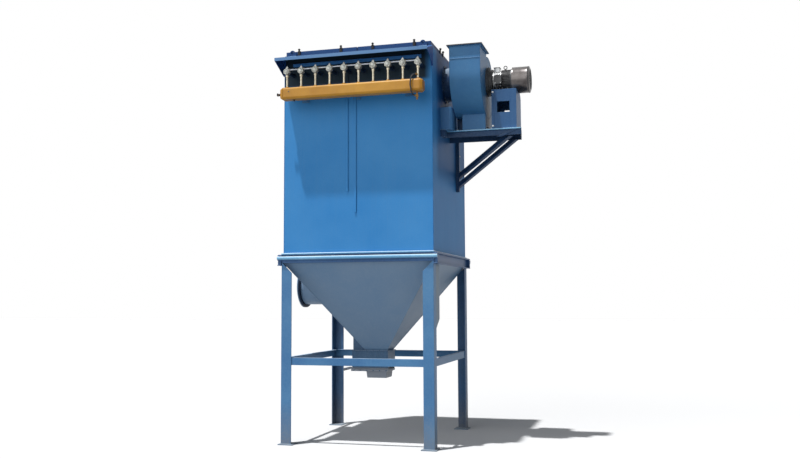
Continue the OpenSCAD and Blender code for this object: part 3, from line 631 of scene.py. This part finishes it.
def pulseValve(values):
    # cast right-angle valve: turned body on +Z, barrel to the rear, bolted round cover in front
    body = turnedProfile(mm((19, -43), (23, -40), (23, -31), (30, -29), (43, -20), (45.5, -10),
                            (43, 2), (32, 14), (27, 26), (21, 34)), 32, 8, 0.012)
    barrel = turnedProfile(mm((26, -40), (30, -30), (30, 10), (27, 22), (31, 26), (31, 36),
                              (26, 38)), 28)
    cover = turnedProfile(mm((37, 30), (39, 32), (39, 38), (37, 40), (29, 40), (27, 45),
                             (20, 50), (8, 52.2)), 36, 6, 0.035, values["coverTurn"])
    screwSpots = circle((0, -values["screwOut"], 0), values["screwRing"], toFront, 6,
                        values["coverTurn"])
    screws = boltGroup(values["screw"], screwSpots, toFront)
    boss = pillow(*mm(46, 40, 10, 42, 7, 3))
    return joined([body, placed(barrel, direction=toRear), placed(cover, direction=toFront),
                   screws, boss])


def pilotCoil():
    # square coil with a hexagon nut on its tube, and a cable boss to the rear
    coil = pillow(*mm(29, 29, 0, 19, 5, 2))
    core = turnedProfile(mm((9.5, 17), (9.5, 28), (7, 33)), 16)
    nut = turnedProfile(mm((11.5, 20), (11.5, 26), (10, 28)), 6)
    boss = placed(turnedProfile(mm((6, 0), (6, 9), (4, 11)), 12), (0, 0.012, 0.009), toRear)
    return joined([coil, core, nut, boss])


makePiece("diaphragm_valves", copies(pulseValve(valveValues), valveSpots), "aluminium",
          replaces=["pulse_valves"])
makePiece("solenoid_coils", copies(pilotCoil(), valveSpots + [0, 0, valveValues["coilRise"]]),
          "aluminium", replaces=["pilot_coils"])
stemNut = turnedProfile(mm((19, -10), (21, -8), (21, 8), (19, 10)), 6)
makePiece("stem_nuts", copies(stemNut, valveSpots - [0, 0, valveValues["nutDrop"]]), "zinc")
socket = turnedProfile(mm((27, -4), (22, 4), (21, 18), (14, 20)), 24)
makePiece("tank_sockets", copies(socket, valveSpots * [1, 1, 0] + [0, 0, tankHigh.z]), "tank")
airNut = placed(turnedProfile(mm((11, -8), (13, -6), (13, 6), (11, 8)), 6), direction=alongX)
rise, reach = valveValues["lineRise"], valveValues["nutReach"]
nutSpots = np.vstack([valveSpots[:-1] + [reach, 0, rise], valveSpots[1:] + [-reach, 0, rise]])
makePiece("air_line_nuts", copies(airNut, nutSpots), "zinc")
wallLow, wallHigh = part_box("housing_shell")
# painted shade: the wall rings round the valve outlets take the near-black enamel
wallRing = placed(turnedProfile(mm((34, 0), (34, 4), (29, 6), (26, 12), (24, 12)), 24),
                  direction=toFront)
makePiece("outlet_wall_rings", copies(wallRing, valveSpots * [1, 0, 1] + [0, wallLow.y, 0]),
          "dark")
print("valves:", len(valveX))


def roundedSquare(x, y, z, side, corner):
    # closed path across X: corner centre + corner * (cos, sin), a quarter turn each
    a = np.linspace(0, np.pi / 2, 6)[None] + np.arange(4)[:, None] * np.pi / 2
    mid = a.mean(1, keepdims=True)
    half = side / 2 - corner
    py = y + half * np.sign(np.cos(mid)) + corner * np.cos(a)
    pz = z + half * np.sign(np.sin(mid)) + corner * np.sin(a)
    return np.stack([np.full(py.size, x), py.ravel(), pz.ravel()], 1)


# plugs: x, y in from the front and radius, and x, z and radius
tankValues = {"corner": 0.034, "bead": 0.004, "plug": (-0.771, 0.056, 0.015),
              "gaugePlug": (-0.822, 4.510, 0.008)}
tankMid = (tankLow + tankHigh) / 2
tankSide = tankHigh.z - tankLow.z
capBeads = [weldBead(roundedSquare(x, tankMid.y, tankMid.z, tankSide, tankValues["corner"]),
                     tankValues["bead"], closed=True) for x in (tankLow.x, tankHigh.x)]
makePiece("tank_cap_welds", capBeads, "tank")
x, y, r = tankValues["plug"]
drainPlug = placed(turnedProfile(shares(r, (1.3, -2), (1.3, 6), (1, 8), (1, 20), (0.8, 23)), 8),
                   (x, tankLow.y + y, tankLow.z), down)
x, z, r = tankValues["gaugePlug"]
gaugePlug = placed(turnedProfile(shares(r, (1, -2), (1, 3), (0.8, 4)), 12),
                   (x, tankLow.y, z), toFront)
makePiece("tank_plug", [drainPlug, gaugePlug], "motor")
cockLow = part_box("tank_cocks")[0]
# the black handle that covers the cock's block, and the sleeve behind it: where they start
leverValues = {"bar": (0.0164, 0.0305, -0.0155, 0.020, 0.004, 0.002), "barIn": 0.007,
               "sleeveIn": 0.022}
leverBar = placed(pillow(*leverValues["bar"]),
                  (cockLow.x + leverValues["barIn"], tankMid.y, tankMid.z))
sleeve = placed(turnedProfile(mm((15.5, 0), (16.5, 2), (16.5, 26), (15.5, 28)), 8),
                (cockLow.x + leverValues["sleeveIn"], tankMid.y, tankMid.z), alongX)
makePiece("cock_lever", [leverBar, sleeve], "knob")
ferrule = turnedProfile(mm((9.5, 0), (12.5, 2), (12.5, 7), (11.2, 9), (12.5, 11), (12.5, 18),
                           (9.5, 20)), 20)
routeEnds = np.asarray(hoseValues["route"], float)
ferrules = [placed(ferrule, routeEnds[0], routeEnds[1] - routeEnds[0]),
            placed(ferrule, routeEnds[-1], routeEnds[-2] - routeEnds[-1])]
makePiece("hose_ferrules", ferrules, "brass")

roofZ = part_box("roof_plate")[1].z
clampValues = {
    "frontX": (-0.801, -0.219, 0.214, 0.768), "sideY": (-0.473, -0.314),
    "top": 0.061, "middle": 0.006, "block": (0.036, 0.012), "blockGap": 0.005,
    "toe": (0.030, 0.034), "toeThick": 0.0055, "toeOut": 0.010, "studRadius": 0.0052,
    "studDown": 0.004, "studUp": 0.012, "thread": 0.0018, "knobRadius": 0.0158, "knobLobes": 6,
    "knobDepth": 0.075,
}


def lidClamp(values):
    # block, toe on the lid, threaded stud, nut and lobed hand knob; +Y towards the lid
    top, middle = values["top"], values["middle"]
    block = placed(pillow(*values["block"], 0, top - values["blockGap"], 0.002, 0.0015),
                   (0, middle, 0))
    toe = placed(pillow(*values["toe"], top - values["toeThick"], top, 0.003, 0.0015),
                 (0, middle + values["toeOut"], 0))
    studPath = line((0, middle, top - values["studDown"]), (0, middle, top + values["studUp"]),
                    values["thread"] / 3)
    stud = tube(studPath, values["studRadius"], 14, 0.12, values["thread"])
    nut = turnedProfile(mm((10, 0), (10, 6), (9, 7)), 6)
    knobShape = shares(values["knobRadius"], (0.45, 7), (0.6, 9), (0.95, 11), (1, 14), (1, 19),
                       (0.9, 24), (0.55, 27), (0.5, 29))
    knob = turnedProfile(knobShape, 48, values["knobLobes"], values["knobDepth"])
    return joined([block, toe, stud, placed(joined([nut, knob]), (0, middle, top))])


quarterTurn = np.array([[0.0, -1, 0], [1, 0, 0], [0, 0, 1]])
clampSpots, clampTurns = [], []
for x in clampValues["frontX"]:
    clampSpots += [(x, wallLow.y, roofZ), (x, wallHigh.y, roofZ)]
    clampTurns += [np.eye(3), quarterTurn @ quarterTurn]
for y in clampValues["sideY"]:
    clampSpots += [(wallHigh.x, y, roofZ), (wallLow.x, y, roofZ)]
    clampTurns += [quarterTurn, quarterTurn.T]
makePiece("star_knob_clamps", copies(lidClamp(clampValues), clampSpots, clampTurns), "knob",
          replaces=["lid_clamps"])

seamValues = {"wallBead": 0.0035, "hopperBead": 0.005, "ductRadius": 0.250,
              "hopperTop": (0.996, 0.980, 2.318), "hopperTip": (0.147, 0.147, 1.160),
              "topGap": 0.01}


def quadrants(point):
    # a point of the front right quarter repeated in all four
    signs = np.array([(-1, -1), (1, -1), (1, 1), (-1, 1)])
    return np.hstack([signs * np.abs(point[:2]), np.full((4, 1), point[2])])


bottomCorners = quadrants((wallHigh.x, wallHigh.y, wallLow.z))
topCorners = quadrants((wallHigh.x, wallHigh.y, wallHigh.z)) - [0, 0, seamValues["topGap"]]
wallWelds = [straightBead(a, b, seamValues["wallBead"]) for ends in
             (np.roll(bottomCorners, -1, 0), topCorners) for a, b in zip(bottomCorners, ends)]
makePiece("housing_welds", wallWelds, "sheet")

hopperTop, hopperTip = np.array(seamValues["hopperTop"]), np.array(seamValues["hopperTip"])


def hopperHalf(z):
    # half width of the hopper at a height, in a straight line from tip to top
    (tip, _, low), (top, _, high) = hopperTip, hopperTop
    return tip + (top - tip) * (z - low) / (high - low)


def branchBead(side, z, radius, bead):
    # where a round duct along X meets the slope: y = r cos a, z = z0 + r sin a, x = half width
    a = np.linspace(0, 2 * np.pi, 240, endpoint=False)
    heights = z + radius * np.sin(a)
    path = np.stack([side * hopperHalf(heights), radius * np.cos(a), heights], 1)
    return weldBead(path, bead, closed=True)


hopperWelds = [straightBead(a, b, seamValues["hopperBead"])
               for a, b in zip(quadrants(hopperTop), quadrants(hopperTip))]
ductLow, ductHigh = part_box("inlet_duct")
inletZ = (ductLow.z + ductHigh.z) / 2
hopperWelds.append(branchBead(-1, inletZ, seamValues["ductRadius"], seamValues["hopperBead"]))
makePiece("hopper_welds", hopperWelds, "hopper")

backingValues = {"inner": 0.2515, "outer": 0.2895, "wide": 0.026, "chamfer": 0.004, "in": 0.012}


def backingRing(values):
    # loose ring behind the inlet flange: a rectangle with chamfers carried round the duct
    r0, r1, w, c = values["inner"], values["outer"], values["wide"], values["chamfer"]
    return turnedProfile([(r0, 0), (r1 - c, 0), (r1, c), (r1, w - c), (r1 - c, w), (r0, w)], 96)


backing = placed(backingRing(backingValues), (ductLow.x + backingValues["in"], 0, inletZ), alongX)
makePiece("inlet_backing_ring", backing, "dark")
print("housing and hopper dressed")

# a leg's outer corner, the reach of the beads at its foot, the width of its flanges, and how far
# out the upright welds of the braces lie
frameValues = {"corner": (1.012, 1.025), "reach": 0.139, "flange": 0.140,
               "face": (1.0005, 1.0135), "footBead": 0.005, "weldEnd": 0.002}
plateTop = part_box("foot_plates")[1].z
footX, footY = frameValues["corner"]
faceX, faceY = frameValues["face"]
bead = frameValues["footBead"]
footPath = np.vstack([
    line((footX - frameValues["reach"], footY, plateTop), (footX, footY, plateTop), bead),
    line((footX, footY - bead, plateTop), (footX, footY - frameValues["reach"], plateTop), bead)])
quarters = [(sx, sy) for sx in (-1, 1) for sy in (-1, 1)]
frameBeads = [weldBead(footPath * [sx, sy, 1], bead) for sx, sy in quarters]
braceLow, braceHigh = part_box("leg_braces")
weldZ = (braceLow.z + frameValues["weldEnd"], braceHigh.z - frameValues["weldEnd"])
for sx, sy in quarters:
    for x, y in ((footX - frameValues["flange"], faceY), (faceX, footY - frameValues["flange"])):
        frameBeads.append(straightBead(*[(sx * x, sy * y, z) for z in weldZ]))
makePiece("frame_welds", frameBeads, "frame")

beamLow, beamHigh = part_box("ring_beam")
flangeLow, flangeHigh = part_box("base_flange")


def rectangularBand(low, high, section):
    # a section of (outwards, height) points carried round a rectangle with mitred corners
    outward = np.array([(-1, -1), (1, -1), (1, 1), (-1, 1)])
    corner = np.where(outward > 0, high[:2], low[:2])
    out, height = np.asarray(section, float).T
    flat = corner[:, None] + outward[:, None] * out[None, :, None]
    return surface(np.dstack([flat, np.broadcast_to(height, (4, len(height)))]), closeRows=True)


def halfRound(depth, low, high, turns=9):
    # rolled edge of a flange: depth * cos and half the height * sin from underside to top
    a = np.linspace(-np.pi / 2, np.pi / 2, turns)
    nose = np.stack([depth * np.cos(a), (low + high) / 2 + (high - low) / 2 * np.sin(a)], 1)
    return np.vstack([[-0.004, low], nose, [-0.004, high]])


noseValues = {"flange": 0.009, "lip": 0.016, "lipBottom": 2.362, "lipTop": 2.4035,
              "shadeStrip": (1.060, 1.025), "standOut": 0.002, "gap": 0.0005}
# the rolled edges of the flange and the beam lips take the painted highlight
flangeNose = halfRound(noseValues["flange"], flangeLow.z, flangeHigh.z)
makePiece("flange_rolled_edge", rectangularBand(flangeLow, flangeHigh, flangeNose), "edge",
          smooth=60)
lipNose = halfRound(noseValues["lip"], noseValues["lipBottom"], noseValues["lipTop"], 13)
lipFront = surface(np.array([[(x, beamLow.y - out, z) for out, z in lipNose]
                             for x in (beamLow.x, beamHigh.x)]))
lipRear = (lipFront[0] * [1, -1, 1], lipFront[1])
makePiece("beam_rolled_lips", [lipFront, lipRear], "edge", smooth=60)
# painted shade: a dark strip in the ring beam's enamel fills the shadowed gap between the base
# flange and the beam
shadeStripHalf = np.array(noseValues["shadeStrip"])
shadeStripBottom, shadeStripTop = beamHigh.z + noseValues["gap"], flangeLow.z - noseValues["gap"]
shadeStripSection = [(0.0, shadeStripBottom), (noseValues["standOut"], shadeStripBottom),
               (noseValues["standOut"], shadeStripTop), (0.0, shadeStripTop)]
makePiece("flange_gap_shade_strip", rectangularBand(-shadeStripHalf, shadeStripHalf, shadeStripSection), "beam")
plateValues = {"out": 0.001, "end": 0.003, "bead": 0.004, "step": 0.005}
plateLow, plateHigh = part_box("leg_side_plate")
plateToe = (plateHigh.x + plateValues["out"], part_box("leg_front_right")[1].y + plateValues["out"])
plateEnds = [(*plateToe, z) for z in (plateLow.z + plateValues["end"],
                                      plateHigh.z - plateValues["end"])]
plateWeld = straightBead(*plateEnds, plateValues["bead"], plateValues["step"])
makePiece("side_plate_weld", plateWeld, "side")

gateValues = {"bolt": 0.009, "flangeY": 0.168, "guideY": 0.167, "x": (-0.31, 0.14, 6),
              "drop": 0.038}
gateX = np.linspace(*gateValues["x"])
gateLow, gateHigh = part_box("gate_housing")
flangeSpots = [(x, sy * gateValues["flangeY"], gateHigh.z) for x in gateX for sy in (-1, 1)]
gateBolts = [boltGroup(gateValues["bolt"], flangeSpots, (0, 0, 1))]
for sy in (-1, 1):
    guideSpots = [(x, sy * gateValues["guideY"], gateLow.z - gateValues["drop"]) for x in gateX]
    gateBolts.append(boltGroup(gateValues["bolt"], guideSpots, (0, sy, 0)))
makePiece("gate_bolts", gateBolts, "gate")

casingLow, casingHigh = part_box("fan_casing")
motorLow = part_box("motor_body")[0]
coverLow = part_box("motor_cover")[0]
fanValues = {
    "axisY": -0.190, "axisZ": 4.715, "inner": 1.175, "outer": 1.570, "grow": 0.037,
    "radii": (0.523, 0.449, 0.375), "front": -0.750, "rear": -0.277, "seamZ": 4.915,
    "bead": 0.0035, "seamBead": 0.005, "rimFlange": 0.030, "ductCircle": (0.236, 12),
    "plateCircle": (0.177, 8, 0.39), "plateBack": 0.046, "ductFlange": 0.010, "ductBolt": 0.010,
    "plateBolt": 0.012, "weldStep": 0.006, "topGap": 0.010, "turnGap": 0.005,
}


def voluteEdge(values, x):
    # down the outlet's front, round three growing quarter circles and up its rear
    g = values["grow"]
    r3, r2, r1 = values["radii"]
    step = values["weldStep"]
    stop = np.arccos((values["rear"] - values["axisY"] - g) / r1)
    arcs = []
    sweeps = [(-g, g, r3, np.pi, 1.5 * np.pi), (-g, -g, r2, 1.5 * np.pi, 2 * np.pi),
              (g, -g, r1, 0.0, stop)]
    for cy, cz, r, a0, a1 in sweeps:
        a = np.arange(a0, a1, step / r)
        arcs.append(np.stack([np.full(a.shape, x), values["axisY"] + cy + r * np.cos(a),
                              values["axisZ"] + cz + r * np.sin(a)], 1))
    front = line((x, values["front"], casingHigh.z - values["topGap"]),
                 (x, values["front"], arcs[0][0, 2] + values["turnGap"]), step)
    return np.vstack([front] + arcs)


fanWelds = [weldBead(voluteEdge(fanValues, x), fanValues["bead"])
            for x in (fanValues["inner"], fanValues["outer"])]
fanWelds.append(straightBead(*[(x, fanValues["front"], fanValues["seamZ"])
                               for x in (fanValues["inner"], fanValues["outer"])],
                             fanValues["seamBead"]))
makePiece("fan_casing_welds", fanWelds, "fan")

# a black band over the top and edges of the fan outlet's flange
rimSection = mm((-28, 0), (-28, 5), (1.5, 5), (2.5, -9), (-0.5, -9)) + [0, casingHigh.z]
rimRear = (casingHigh.x, fanValues["rear"] + fanValues["rimFlange"])
makePiece("outlet_black_rim", rectangularBand(casingLow, rimRear, rimSection), "rubber")
axis = (fanValues["axisY"], fanValues["axisZ"])
ductRadius, ductCount = fanValues["ductCircle"]
ductBolts = []
for end, side in zip(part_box("fan_inlet_duct"), (-1, 1)):
    boltX = end.x - side * fanValues["ductFlange"]
    ductBolts.append(boltGroup(fanValues["ductBolt"], circle(
        (boltX, *axis), ductRadius, alongX, ductCount), (-side, 0, 0)))
makePiece("fan_duct_bolts", ductBolts, "platform")
plateRadius, plateCount, plateTurn = fanValues["plateCircle"]
plateSpots = circle((motorLow.x - fanValues["plateBack"], *axis), plateRadius, alongX, plateCount,
                    plateTurn)
makePiece("motor_plate_bolts", boltGroup(fanValues["plateBolt"], plateSpots, alongX), "motor")

motorValues = {
    "radius": 0.145, "root": 0.131, "fins": 44, "shieldEnd": 1.765, "finEnd": 1.882,
    "feetY": (-0.275, -0.105), "boxSize": (0.092, 0.118), "boxFront": -0.393, "boxX": 1.7375,
    "boxZ": 4.700, "ringX": 1.811, "ringZ": 4.894, "ringRadius": 0.021, "ringWire": 0.0052,
    "footX": 1.780, "ribX": (1.705, 1.780, 1.850), "footBoltX": (1.742, 1.816), "glandY": -0.345,
    "junctionX": 1.703, "ribIn": 0.006, "lidOver": 0.006, "screwIn": 0.010, "screwSink": 0.0005,
    "footTop": 0.013, "screw": 0.005, "bolt": 0.010,
}


def onAxis(part, x):
    # a part turned about +Z laid along the motor's axis
    return placed(part, (x, *axis), alongX)


def finnedBarrel(values, start, end):
    # four points a fin, two at the root radius and two at the tip, carried along the axis
    count = values["fins"]
    a = (np.arange(count)[:, None] + np.array([0.0, 0.12, 0.42, 0.54])).ravel() * 2 * np.pi / count
    tip = np.tile([0, 1, 1, 0], count)
    root, rise, long = values["root"], values["radius"] - values["root"], end - start
    r = root + np.outer([0, rise, rise, 0], tip)
    z = np.array([[0, 0.004, long - 0.004, long]]).T
    points = np.stack([r * np.cos(a), r * np.sin(a), np.broadcast_to(z, r.shape)], -1)
    return onAxis(surface(points), start)


def motorShell(values):
    rear = onAxis(turnedProfile(mm((130, 0), (148, 2), (150, 12), (150, 27)), 64),
                  values["finEnd"])
    foot, rib = pillow(*mm(196, 48, 0, 14, 6, 2)), pillow(*mm(14, 40, 12, 75, 3, 2))
    feet = []
    for y in values["feetY"]:
        ribY = y - np.sign(y - axis[0]) * values["ribIn"]
        feet.append(placed(foot, (values["footX"], y, motorLow.z)))
        feet += [placed(rib, (x, ribY, motorLow.z)) for x in values["ribX"]]
    width, height = values["boxSize"]
    over, out = values["lidOver"], -values["boxFront"]
    spot = (values["boxX"], 0, values["boxZ"])
    case = placed(pillow(width, height, 0.250, out - 0.010, 0.010, 0.003), spot, toFront)
    lid = placed(pillow(width + over, height + over, out - 0.012, out, 0.012, 0.003), spot,
                 toFront)
    gland = placed(turnedProfile(mm((12, -6), (12, 8), (15, 9), (15, 19), (9, 24)), 8),
                   (values["boxX"], values["glandY"], values["boxZ"] - height / 2), down)
    barrel = finnedBarrel(values, values["shieldEnd"], values["finEnd"])
    return joined([barrel, rear, case, lid, gland] + feet)


makePiece("finned_motor", motorShell(motorValues), "motor", smooth=30, replaces=["motor_body"])
# the end shield: two steps, four broad bands with a groove behind each, and a rim
shield = [(105, 0), (124, 3)]
for z in (6, 30, 54, 78):
    shield += [(128, z), (130, z + 3), (130, z + 13), (128, z + 16), (116, z + 18), (116, z + 22)]
shield += [(131, 104), (138, 108), (138, 116)]
makePiece("motor_end_shield", onAxis(turnedProfile(mm(*shield), 64), motorLow.x), "bolt")
boxSpot = (motorValues["junctionX"], *axis)
boxLid = placed(pillow(*mm(88, 110, 174.5, 180, 8, 2)), boxSpot)
boxCase = placed(pillow(*mm(78, 98, 118, 175, 8, 2)), boxSpot)
makePiece("junction_box_case", boxCase, "bolt")
makePiece("junction_box_lid", boxLid, "motor")
ringPath = circle((motorValues["ringX"], axis[0], motorValues["ringZ"]),
                  motorValues["ringRadius"], toRear, 40)
ring = tube(ringPath, motorValues["ringWire"], 12, closed=True)
ringStem = placed(turnedProfile(mm((17, -4), (17, 4), (8, 9), (7, 18)), 20),
                  (motorValues["ringX"], axis[0], axis[1] + motorValues["radius"]))
makePiece("motor_lifting_ring", [ring, ringStem], "motor")
reachX, reachZ = [side / 2 - motorValues["screwIn"] for side in motorValues["boxSize"]]
screwY = motorValues["boxFront"] + motorValues["screwSink"]
lidScrews = [(motorValues["boxX"] + sx * reachX, screwY, motorValues["boxZ"] + sz * reachZ)
             for sx, sz in quarters]
footBolts = [(x, y, motorLow.z + motorValues["footTop"]) for x in motorValues["footBoltX"]
             for y in motorValues["feetY"]]
makePiece("motor_bolts", [boltGroup(motorValues["screw"], lidScrews, toFront),
                          boltGroup(motorValues["bolt"], footBolts, (0, 0, 1))], "bolt")

cowlValues = {"radius": 0.173, "round": 0.030, "length": 0.2295, "mesh": 9, "spokes": 24,
              "wire": 0.0016, "grilleIn": 0.002, "grilleGap": 0.008, "band": 0.006,
              "bandIn": 0.016, "bandSink": 0.004}


def cowlShell(values):
    # spun cover: a beaded skirt, a straight wall, and a quarter-circle shoulder into the flat end
    r, q, end = values["radius"], values["round"], values["length"]
    a = np.linspace(0, np.pi / 2, 9)
    shoulder = np.stack([r - q + q * np.cos(a), end - q + q * np.sin(a)], 1)
    skirt = mm((-6, 0), (0, 2), (0, 10), (-3, 13), (-3, 18), (-0.8, 22)) + [r, 0]
    wall = mm((-0.8, -12), (0, -9), (0, -2)) + [r, end - q]
    hole = mm((-6, 0), (-10, -4)) + [r - q, end]
    return onAxis(turnedProfile(np.vstack([skirt, wall, shoulder, hole]), 96), coverLow.x)


makePiece("motor_cowl", cowlShell(cowlValues), "cowl", smooth=40, replaces=["motor_cover"])
grilleX = coverLow.x + cowlValues["length"] - cowlValues["grilleIn"]
openRadius = cowlValues["radius"] - cowlValues["round"] - cowlValues["grilleGap"]
hoops = [tube(circle((grilleX, *axis), openRadius * (k + 1) / cowlValues["mesh"], alongX, 64),
              cowlValues["wire"], 6, closed=True) for k in range(cowlValues["mesh"])]
spokeEnds = [circle((grilleX, *axis), openRadius * share, alongX, cowlValues["spokes"])
             for share in (0.2, 1)]
spokes = [tube(line(a, b, 0.03), cowlValues["wire"], 6) for a, b in zip(*spokeEnds)]
makePiece("cowl_grille", hoops + spokes, "motor")
rimPath = circle((coverLow.x + cowlValues["length"] - cowlValues["bandIn"], *axis),
                 cowlValues["radius"] - cowlValues["bandSink"], alongX, 96)
makePiece("cowl_rim_band", tube(rimPath, cowlValues["band"], 10, closed=True), "motor")
print("fan and motor dressed")

platformValues = {
    "uprightIn": 0.016, "uprightRise": (0.040, -0.035), "baseY": (-0.34, -0.22, -0.10),
    "baseRise": 0.05, "angleZ": (3.42, 4.05, 4), "bolts": (0.012, 0.010), "standCut": 0.040,
    "nosing": (0.012, 0.030, -0.014, 0.001, 0.003, 0.002), "nosingY": -0.396,
    "web": (0.008, 0, 0.26, 0.002, 0.001), "webY": -0.200,
}
pedestalLow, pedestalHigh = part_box("motor_pedestal")
deckLow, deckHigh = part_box("platform_frame")
baseLow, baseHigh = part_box("fan_base")
standLow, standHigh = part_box("wall_stand")
angleLow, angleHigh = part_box("wall_angle")
deckZ = pedestalLow.z
lowRise, highRise = platformValues["uprightRise"]
uprightBolts = [(pedestalLow.x + platformValues["uprightIn"], pedestalLow.y, z)
                for z in (deckZ + lowRise, pedestalHigh.z + highRise)]
sideBolts = [(baseHigh.x, y, deckZ + platformValues["baseRise"]) for y in platformValues["baseY"]]
angleBolts = [(angleHigh.x, (angleLow.y + angleHigh.y) / 2, z)
              for z in np.linspace(*platformValues["angleZ"])]
large, small = platformValues["bolts"]
makePiece("platform_bolts", [
    boltGroup(large, uprightBolts, toFront), boltGroup(small, sideBolts, alongX),
    boltGroup(large, angleBolts, alongX)], "bolt")
cut = platformValues["standCut"]
deckWelds = [straightBead((x0, y0, z), (x1, y1, z)) for x0, y0, x1, y1, z in (
    (pedestalLow.x, pedestalLow.y + 0.005, pedestalHigh.x, pedestalLow.y + 0.005, deckZ),
    (pedestalLow.x, pedestalHigh.y, pedestalHigh.x, pedestalHigh.y, deckZ),
    (standHigh.x, standLow.y + cut, standHigh.x, standHigh.y, deckZ),
    (standLow.x + 0.002, standLow.y, standHigh.x - cut, standLow.y, deckZ),
    (deckLow.x + 0.001, deckLow.y + 0.002, deckLow.x + 0.001, deckHigh.y, deckZ),
    (angleHigh.x, angleLow.y, angleHigh.x, angleHigh.y, angleLow.z))]
makePiece("platform_welds", deckWelds, "frame")

hoodLow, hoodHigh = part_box("rain_hood")
hoodValues = {"hemZ": 4.922, "hem": 0.0035, "hemIn": 0.002, "sealBead": 0.003,
              "fascia": (0.003, 0, 0.042, 0.0014, 0.001), "fasciaZ": 4.918, "splice": 0.130,
              "spliceBack": -0.995, "standOut": 0.001, "fasciaOut": 0.0005}
hemIn = hoodValues["hemIn"]
hemPath = line(*[(x, hoodLow.y + hemIn, hoodValues["hemZ"])
                 for x in (hoodLow.x + hemIn, hoodHigh.x - hemIn)], 0.05)
sealY = wallLow.y - hoodValues["standOut"]
flashing = straightBead(*[(x, sealY, hoodHigh.z) for x in (wallLow.x, wallHigh.x)],
                        hoodValues["sealBead"])
makePiece("hood_hem_and_seal", [tube(hemPath, hoodValues["hem"], 10), flashing], "sheet")
# a pale strip on the hood's front edge: painted highlight for the sunlit hood slope
fascia = placed(pillow(hoodHigh.x - hoodLow.x, *hoodValues["fascia"]),
                (0, hoodLow.y - hoodValues["fasciaOut"], hoodValues["fasciaZ"]))
makePiece("hood_fascia", fascia, "fascia")
# the rail is two bars in the CAD: this joins them into one band
railLow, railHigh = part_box("hood_rail")
spliceDepth = hoodValues["spliceBack"] - railLow.y
railSplice = placed(
    pillow(hoodValues["splice"], spliceDepth, railLow.z, railHigh.z, 0.002, 0.0015),
    (0, railLow.y + spliceDepth / 2, 0))
makePiece("rail_splice", railSplice, "rail")
# the nosing takes the painted highlight along the deck's front edge
nosingShort, *nosingShape = platformValues["nosing"]
nosing = placed(pillow(deckHigh.x - deckLow.x - nosingShort, *nosingShape),
                ((deckLow.x + deckHigh.x) / 2 - 0.002, platformValues["nosingY"], deckHigh.z))
makePiece("deck_nosing", nosing, "edge")
# the web plate takes the platform's painted shade
webPlate = placed(pillow(baseLow.x - standHigh.x, *platformValues["web"]),
                  ((baseLow.x + standHigh.x) / 2, platformValues["webY"], deckZ))
makePiece("fan_base_web", webPlate, "platform")
lugValues = {"width": 0.110, "fromWall": 0.018, "drop": 0.004}
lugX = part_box("lifting_lugs")[1].x
lugEnds = [(x, wallHigh.y + lugValues["fromWall"], wallHigh.z - lugValues["drop"])
           for x in (lugX - lugValues["width"], lugX)]
lugFeet = [straightBead(*(np.array(lugEnds) * [sx, sy, 1])) for sx, sy in quarters]
makePiece("lug_welds", lugFeet, "frame")
print("platform and hood dressed")

lightValues = {
    "keyFrom": (-0.172, -0.226, 0.959), "keyStrength": 4.0, "keySpread": 1.4,
    "fillFrom": (-0.45, -0.85, 0.25), "fillStrength": 1.85, "fillSpread": 70,
    "sky": "#e6ecf4", "skyStrength": 0.2, "floorSeen": 0.66, "floorBounce": 0.36,
    "floorHalf": 70,
}


def addSun(name, comesFrom, strength, spread):
    lamp = bpy.data.lights.new(name, "SUN")
    lamp.energy = strength
    lamp.angle = math.radians(spread)
    sun = bpy.data.objects.new(name, lamp)
    sun.rotation_euler = Vector(comesFrom).to_track_quat("Z", "Y").to_euler()
    scene.collection.objects.link(sun)


def directRays(add):
    # one for what is seen straight, in a reflection or through glass; zero for bounced light
    rays = add("LightPath").outputs
    seen = add("Math", links={0: rays["Is Camera Ray"], 1: rays["Is Glossy Ray"]},
               operation="MAXIMUM")
    return add("Math", links={0: seen, 1: rays["Is Transmission Ray"]}, operation="MAXIMUM")


def makeStage(values):
    # one flat square; what the camera sees of it is white where nothing shades it, and what it
    # throws back on the plant is held down
    half = values["floorHalf"]
    mesh = bpy.data.meshes.new("floor")
    mesh.from_pydata([(-half, -half, 0), (half, -half, 0), (half, half, 0), (-half, half, 0)], [],
                     [(0, 1, 2, 3)])
    floor = bpy.data.objects.new("floor", mesh)
    scene.collection.objects.link(floor)
    made = bpy.data.materials.new("pale_floor")
    add = emptyTree(made)
    bounced, shown = [(values[key],) * 3 + (1,) for key in ("floorBounce", "floorSeen")]
    tone = add("Mix", {"A": bounced, "B": shown}, {"Factor": directRays(add)}, data_type="RGBA")
    endMaterial(add, {"Roughness": 1.0, "Specular IOR Level": 0.0}, {"Base Color": tone})
    mesh.materials.append(made)
    world = bpy.data.worlds.new("surroundings")
    scene.world = world
    add = emptyTree(world)
    light = add("Background", {"Color": linear(values["sky"]), "Strength": values["skyStrength"]})
    white = add("Background", {"Color": (1, 1, 1, 1), "Strength": 1.0})
    both = add("MixShader", links={0: directRays(add), 1: light, 2: white})
    add("OutputWorld", links={"Surface": both})
    addSun("key_sun", values["keyFrom"], values["keyStrength"], values["keySpread"])
    addSun("soft_fill", values["fillFrom"], values["fillStrength"], values["fillSpread"])


makeStage(lightValues)
scene.view_settings.view_transform = "Standard"
